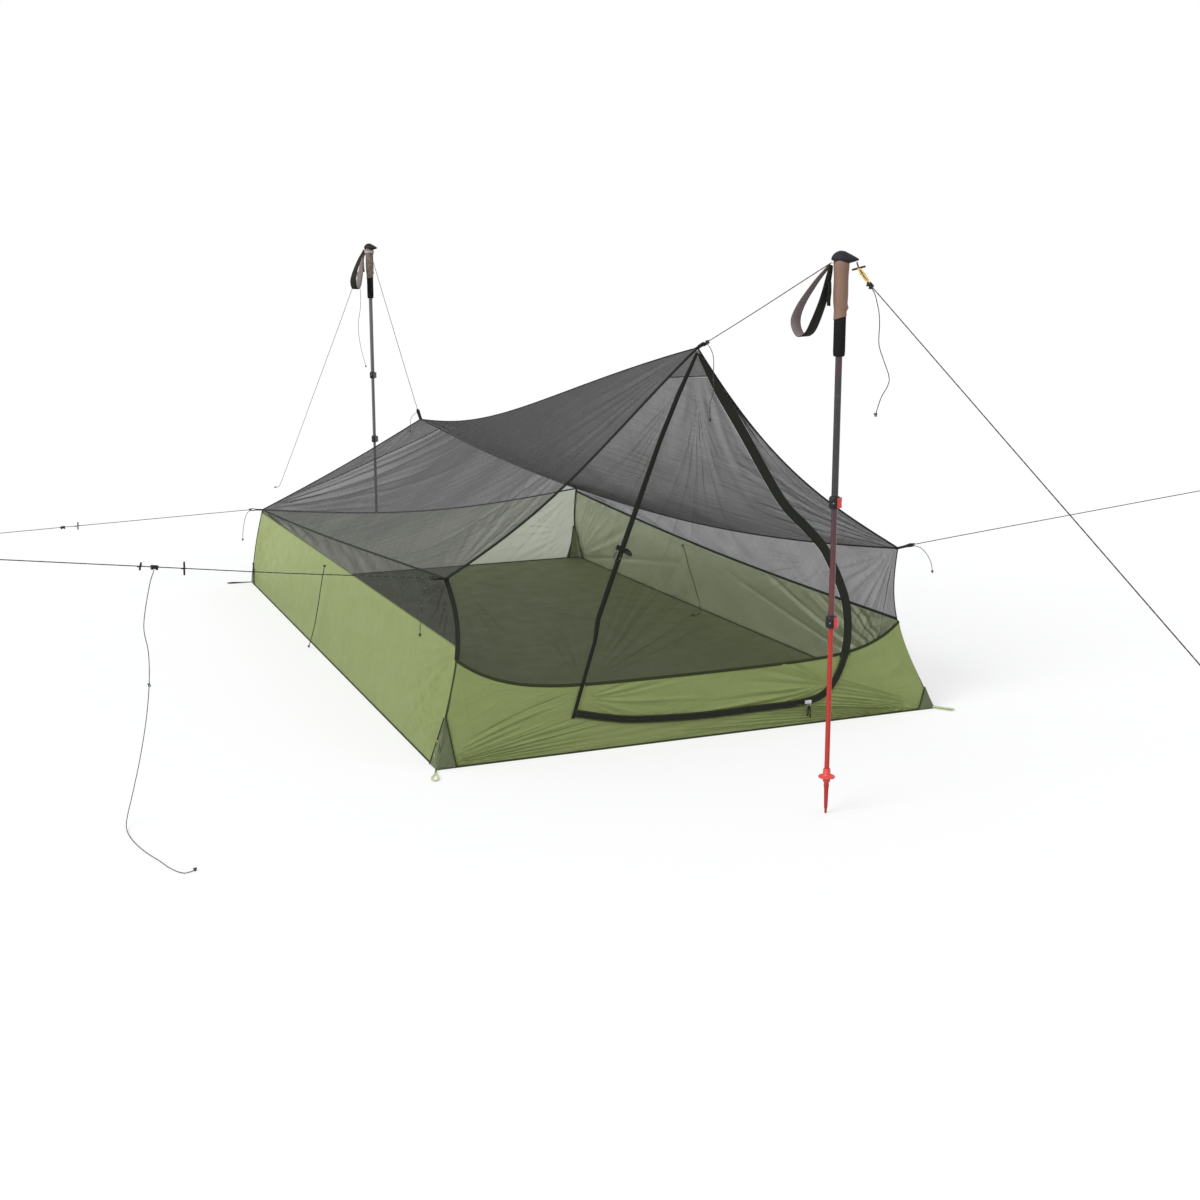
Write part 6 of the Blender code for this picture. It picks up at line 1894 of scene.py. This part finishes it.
def make_poles():
    make_pole("front", -POLE_Y, FRONT_STRAP_TURN,
              ("upper_tube", "mid_tube", "red_tube", "cork", "lever"))
    make_pole("rear", POLE_Y, REAR_STRAP_TURN,
              ("rear_tube", "rear_tube", "tip", "pale_cork", "rear_lever"))
    wrap = []
    for share in np.linspace(0, 1, 49):
        angle = 2 * math.pi * 3 * share
        around = Vector((math.cos(angle), math.sin(angle), 0)) * 0.0182
        wrap.append(Vector((0, POLE_Y, 1.166 + 0.007 * share)) + around)
    piece("rear_pole_wrap", swept_bmesh(wrap, round_section(GUY)), "pale_cord")


# Stage

CAMERA_PLACE = (-1.8233, -4.8683, 1.2321)
CAMERA_DOWN = 12.107
CAMERA_RIGHT = 22.855
CAMERA_LENS = 50.931
SENSOR_WIDTH = 36
STAGE_HALF = 30
SKY = {"Color": (0.97, 0.98, 1.0, 1), "Strength": 0.62}
LAMPS = (
    ("key_light", 1.90, 35, (0.80, 0.25, -0.55)),
    ("fill_light", 0.28, 60, (-0.35, 0.85, -0.5)),
)


def make_stage():
    scene = bpy.context.scene
    camera = bpy.data.cameras.new("camera")
    camera.sensor_width = SENSOR_WIDTH
    camera.lens = CAMERA_LENS
    camera.clip_start = 0.05
    camera.clip_end = 100
    viewer = bpy.data.objects.new("camera", camera)
    viewer.location = CAMERA_PLACE
    viewer.rotation_euler = (math.radians(90 - CAMERA_DOWN), 0, math.radians(-CAMERA_RIGHT))
    scene.collection.objects.link(viewer)
    scene.camera = viewer

    bm = bmesh.new()
    bmesh.ops.create_grid(bm, x_segments=2, y_segments=2, size=STAGE_HALF)
    floor = bpy.data.objects.new("stage_floor", mesh_of("stage_floor", bm))
    scene.collection.objects.link(floor)
    floor.data.materials.append(floor_material())

    world = bpy.data.worlds.new("studio")
    scene.world = world
    world.use_nodes = True
    w = Wiring(world.node_tree)
    backdrop = world.node_tree.nodes["Background"]
    soft = w.add("ShaderNodeBackground", SKY)
    mixed = w.add("ShaderNodeMixShader", {0: seen_directly(w), 1: soft.outputs[0], 2: backdrop.outputs[0]})
    w.fill(backdrop, {"Color": (1, 1, 1, 1)})
    w.fill(world.node_tree.nodes["World Output"], {"Surface": mixed.outputs[0]})

    for name, strength, angle, way in LAMPS:
        lamp = bpy.data.lights.new(name, "SUN")
        lamp.energy = strength
        lamp.angle = math.radians(angle)
        light = bpy.data.objects.new(name, lamp)
        light.rotation_euler = Vector(way).to_track_quat("-Z", "Y").to_euler()
        scene.collection.objects.link(light)
    scene.view_settings.view_transform = "Standard"


def seen_directly(w):
    """1 for rays from the camera and for what gloss or glass shows of the background."""
    path = w.add("ShaderNodeLightPath")
    shown = w.plus(path.outputs["Is Camera Ray"], path.outputs["Is Glossy Ray"], True)
    return w.plus(shown, path.outputs["Is Transmission Ray"], True)


def floor_material():
    made = bpy.data.materials.new("stage_floor")
    made.use_nodes = True
    tree = made.node_tree
    tree.nodes.remove(tree.nodes["Principled BSDF"])
    w = Wiring(tree)
    matt = w.add("ShaderNodeBsdfDiffuse", {"Color": (0.50, 0.50, 0.50, 1)})
    glow = w.add("ShaderNodeEmission", {"Color": (1, 1, 1, 1), "Strength": w.times(seen_directly(w), 0.52)})
    both = w.add("ShaderNodeAddShader", {0: matt.outputs[0], 1: glow.outputs[0]})
    w.fill(tree.nodes["Material Output"], {"Surface": both.outputs[0]})
    return made


# Operators


def finished(make):
    make()
    return {"FINISHED"}


class SHELTER_OT_stage(bpy.types.Operator):
    """Add the camera, the lamps, the world and the floor"""

    bl_idname = "shelter.stage"
    bl_label = "Stage"

    def execute(self, context):
        return finished(make_stage)


class SHELTER_OT_cords(bpy.types.Operator):
    """Add the guy lines, ridge cords, tails and tie cords"""

    bl_idname = "shelter.cords"
    bl_label = "Cords"

    def execute(self, context):
        return finished(make_cords)


class SHELTER_OT_floor_and_walls(bpy.types.Operator):
    """Add the coated floor, its green walls and the netting strips over them"""

    bl_idname = "shelter.floor_and_walls"
    bl_label = "Floor and Walls"

    def execute(self, context):
        return finished(make_floor_and_walls)


class SHELTER_OT_netting(bpy.types.Operator):
    """Add the netting of the roof, the front and the rear, and the gusset at the peak"""

    bl_idname = "shelter.netting"
    bl_label = "Netting"

    def execute(self, context):
        return finished(make_netting_panels)


class SHELTER_OT_door(bpy.types.Operator):
    """Add the front sill, the door and the flap over its zip"""

    bl_idname = "shelter.door"
    bl_label = "Door"

    def execute(self, context):
        return finished(make_door_and_sill)


class SHELTER_OT_seams(bpy.types.Operator):
    """Add the tapes over the seams and the hems round the floor"""

    bl_idname = "shelter.seams"
    bl_label = "Seams"

    def execute(self, context):
        return finished(make_seams)


class SHELTER_OT_zip(bpy.types.Operator):
    """Add the zip's tapes, teeth and slider, the hinge tape and the door tie"""

    bl_idname = "shelter.zip"
    bl_label = "Zip"

    def execute(self, context):
        return finished(make_zip)


class SHELTER_OT_corner_patches(bpy.types.Operator):
    """Add the corner patches with their stake loops"""

    bl_idname = "shelter.corner_patches"
    bl_label = "Corner Patches"

    def execute(self, context):
        return finished(make_corner_patches)


class SHELTER_OT_tabs(bpy.types.Operator):
    """Add the corner tabs and the buckles"""

    bl_idname = "shelter.tabs"
    bl_label = "Tabs and Buckles"

    def execute(self, context):
        return finished(make_tabs)


class SHELTER_OT_line_locks(bpy.types.Operator):
    """Add the line locks, the toggles and the yellow loop"""

    bl_idname = "shelter.line_locks"
    bl_label = "Line Locks"

    def execute(self, context):
        make_line_locks()
        return finished(make_toggles)


class SHELTER_OT_poles(bpy.types.Operator):
    """Add both trekking poles with their grips, straps, clamps and baskets"""

    bl_idname = "shelter.poles"
    bl_label = "Trekking Poles"

    def execute(self, context):
        return finished(make_poles)


STEPS = (
    SHELTER_OT_stage, SHELTER_OT_cords, SHELTER_OT_floor_and_walls, SHELTER_OT_netting, SHELTER_OT_door,
    SHELTER_OT_seams, SHELTER_OT_zip, SHELTER_OT_corner_patches, SHELTER_OT_tabs, SHELTER_OT_line_locks,
    SHELTER_OT_poles,
)


class SHELTER_PT_panel(bpy.types.Panel):
    """Lists the shelter's settings and its operators"""

    bl_idname = "SHELTER_PT_panel"
    bl_label = "Mesh Bug Shelter"
    bl_space_type = "VIEW_3D"
    bl_region_type = "UI"
    bl_category = "Shelter"

    def draw(self, context):
        layout = self.layout
        for group in (context.scene.shelter_sizes, context.scene.shelter_colours):
            column = layout.column(align=True)
            for name in group.bl_rna.properties.keys():
                if name not in {"rna_type", "name"}:
                    column.prop(group, name)
        for step in STEPS:
            layout.operator(step.bl_idname)


CLASSES = (ShelterSizes, ShelterColours, *STEPS, SHELTER_PT_panel)


def register():
    for cls in CLASSES:
        bpy.utils.register_class(cls)
    bpy.types.Scene.shelter_sizes = bpy.props.PointerProperty(type=ShelterSizes)
    bpy.types.Scene.shelter_colours = bpy.props.PointerProperty(type=ShelterColours)


def unregister():
    del bpy.types.Scene.shelter_colours
    del bpy.types.Scene.shelter_sizes
    for cls in reversed(CLASSES):
        bpy.utils.unregister_class(cls)


def main():
    register()
    make_groups()
    bpy.ops.shelter.stage()
    bpy.ops.shelter.cords()
    bpy.ops.shelter.floor_and_walls()
    bpy.ops.shelter.netting()
    bpy.ops.shelter.door()
    bpy.ops.shelter.seams()
    bpy.ops.shelter.zip()
    bpy.ops.shelter.corner_patches()
    bpy.ops.shelter.tabs()
    bpy.ops.shelter.line_locks()
    bpy.ops.shelter.poles()


if __name__ == "__main__":
    main()
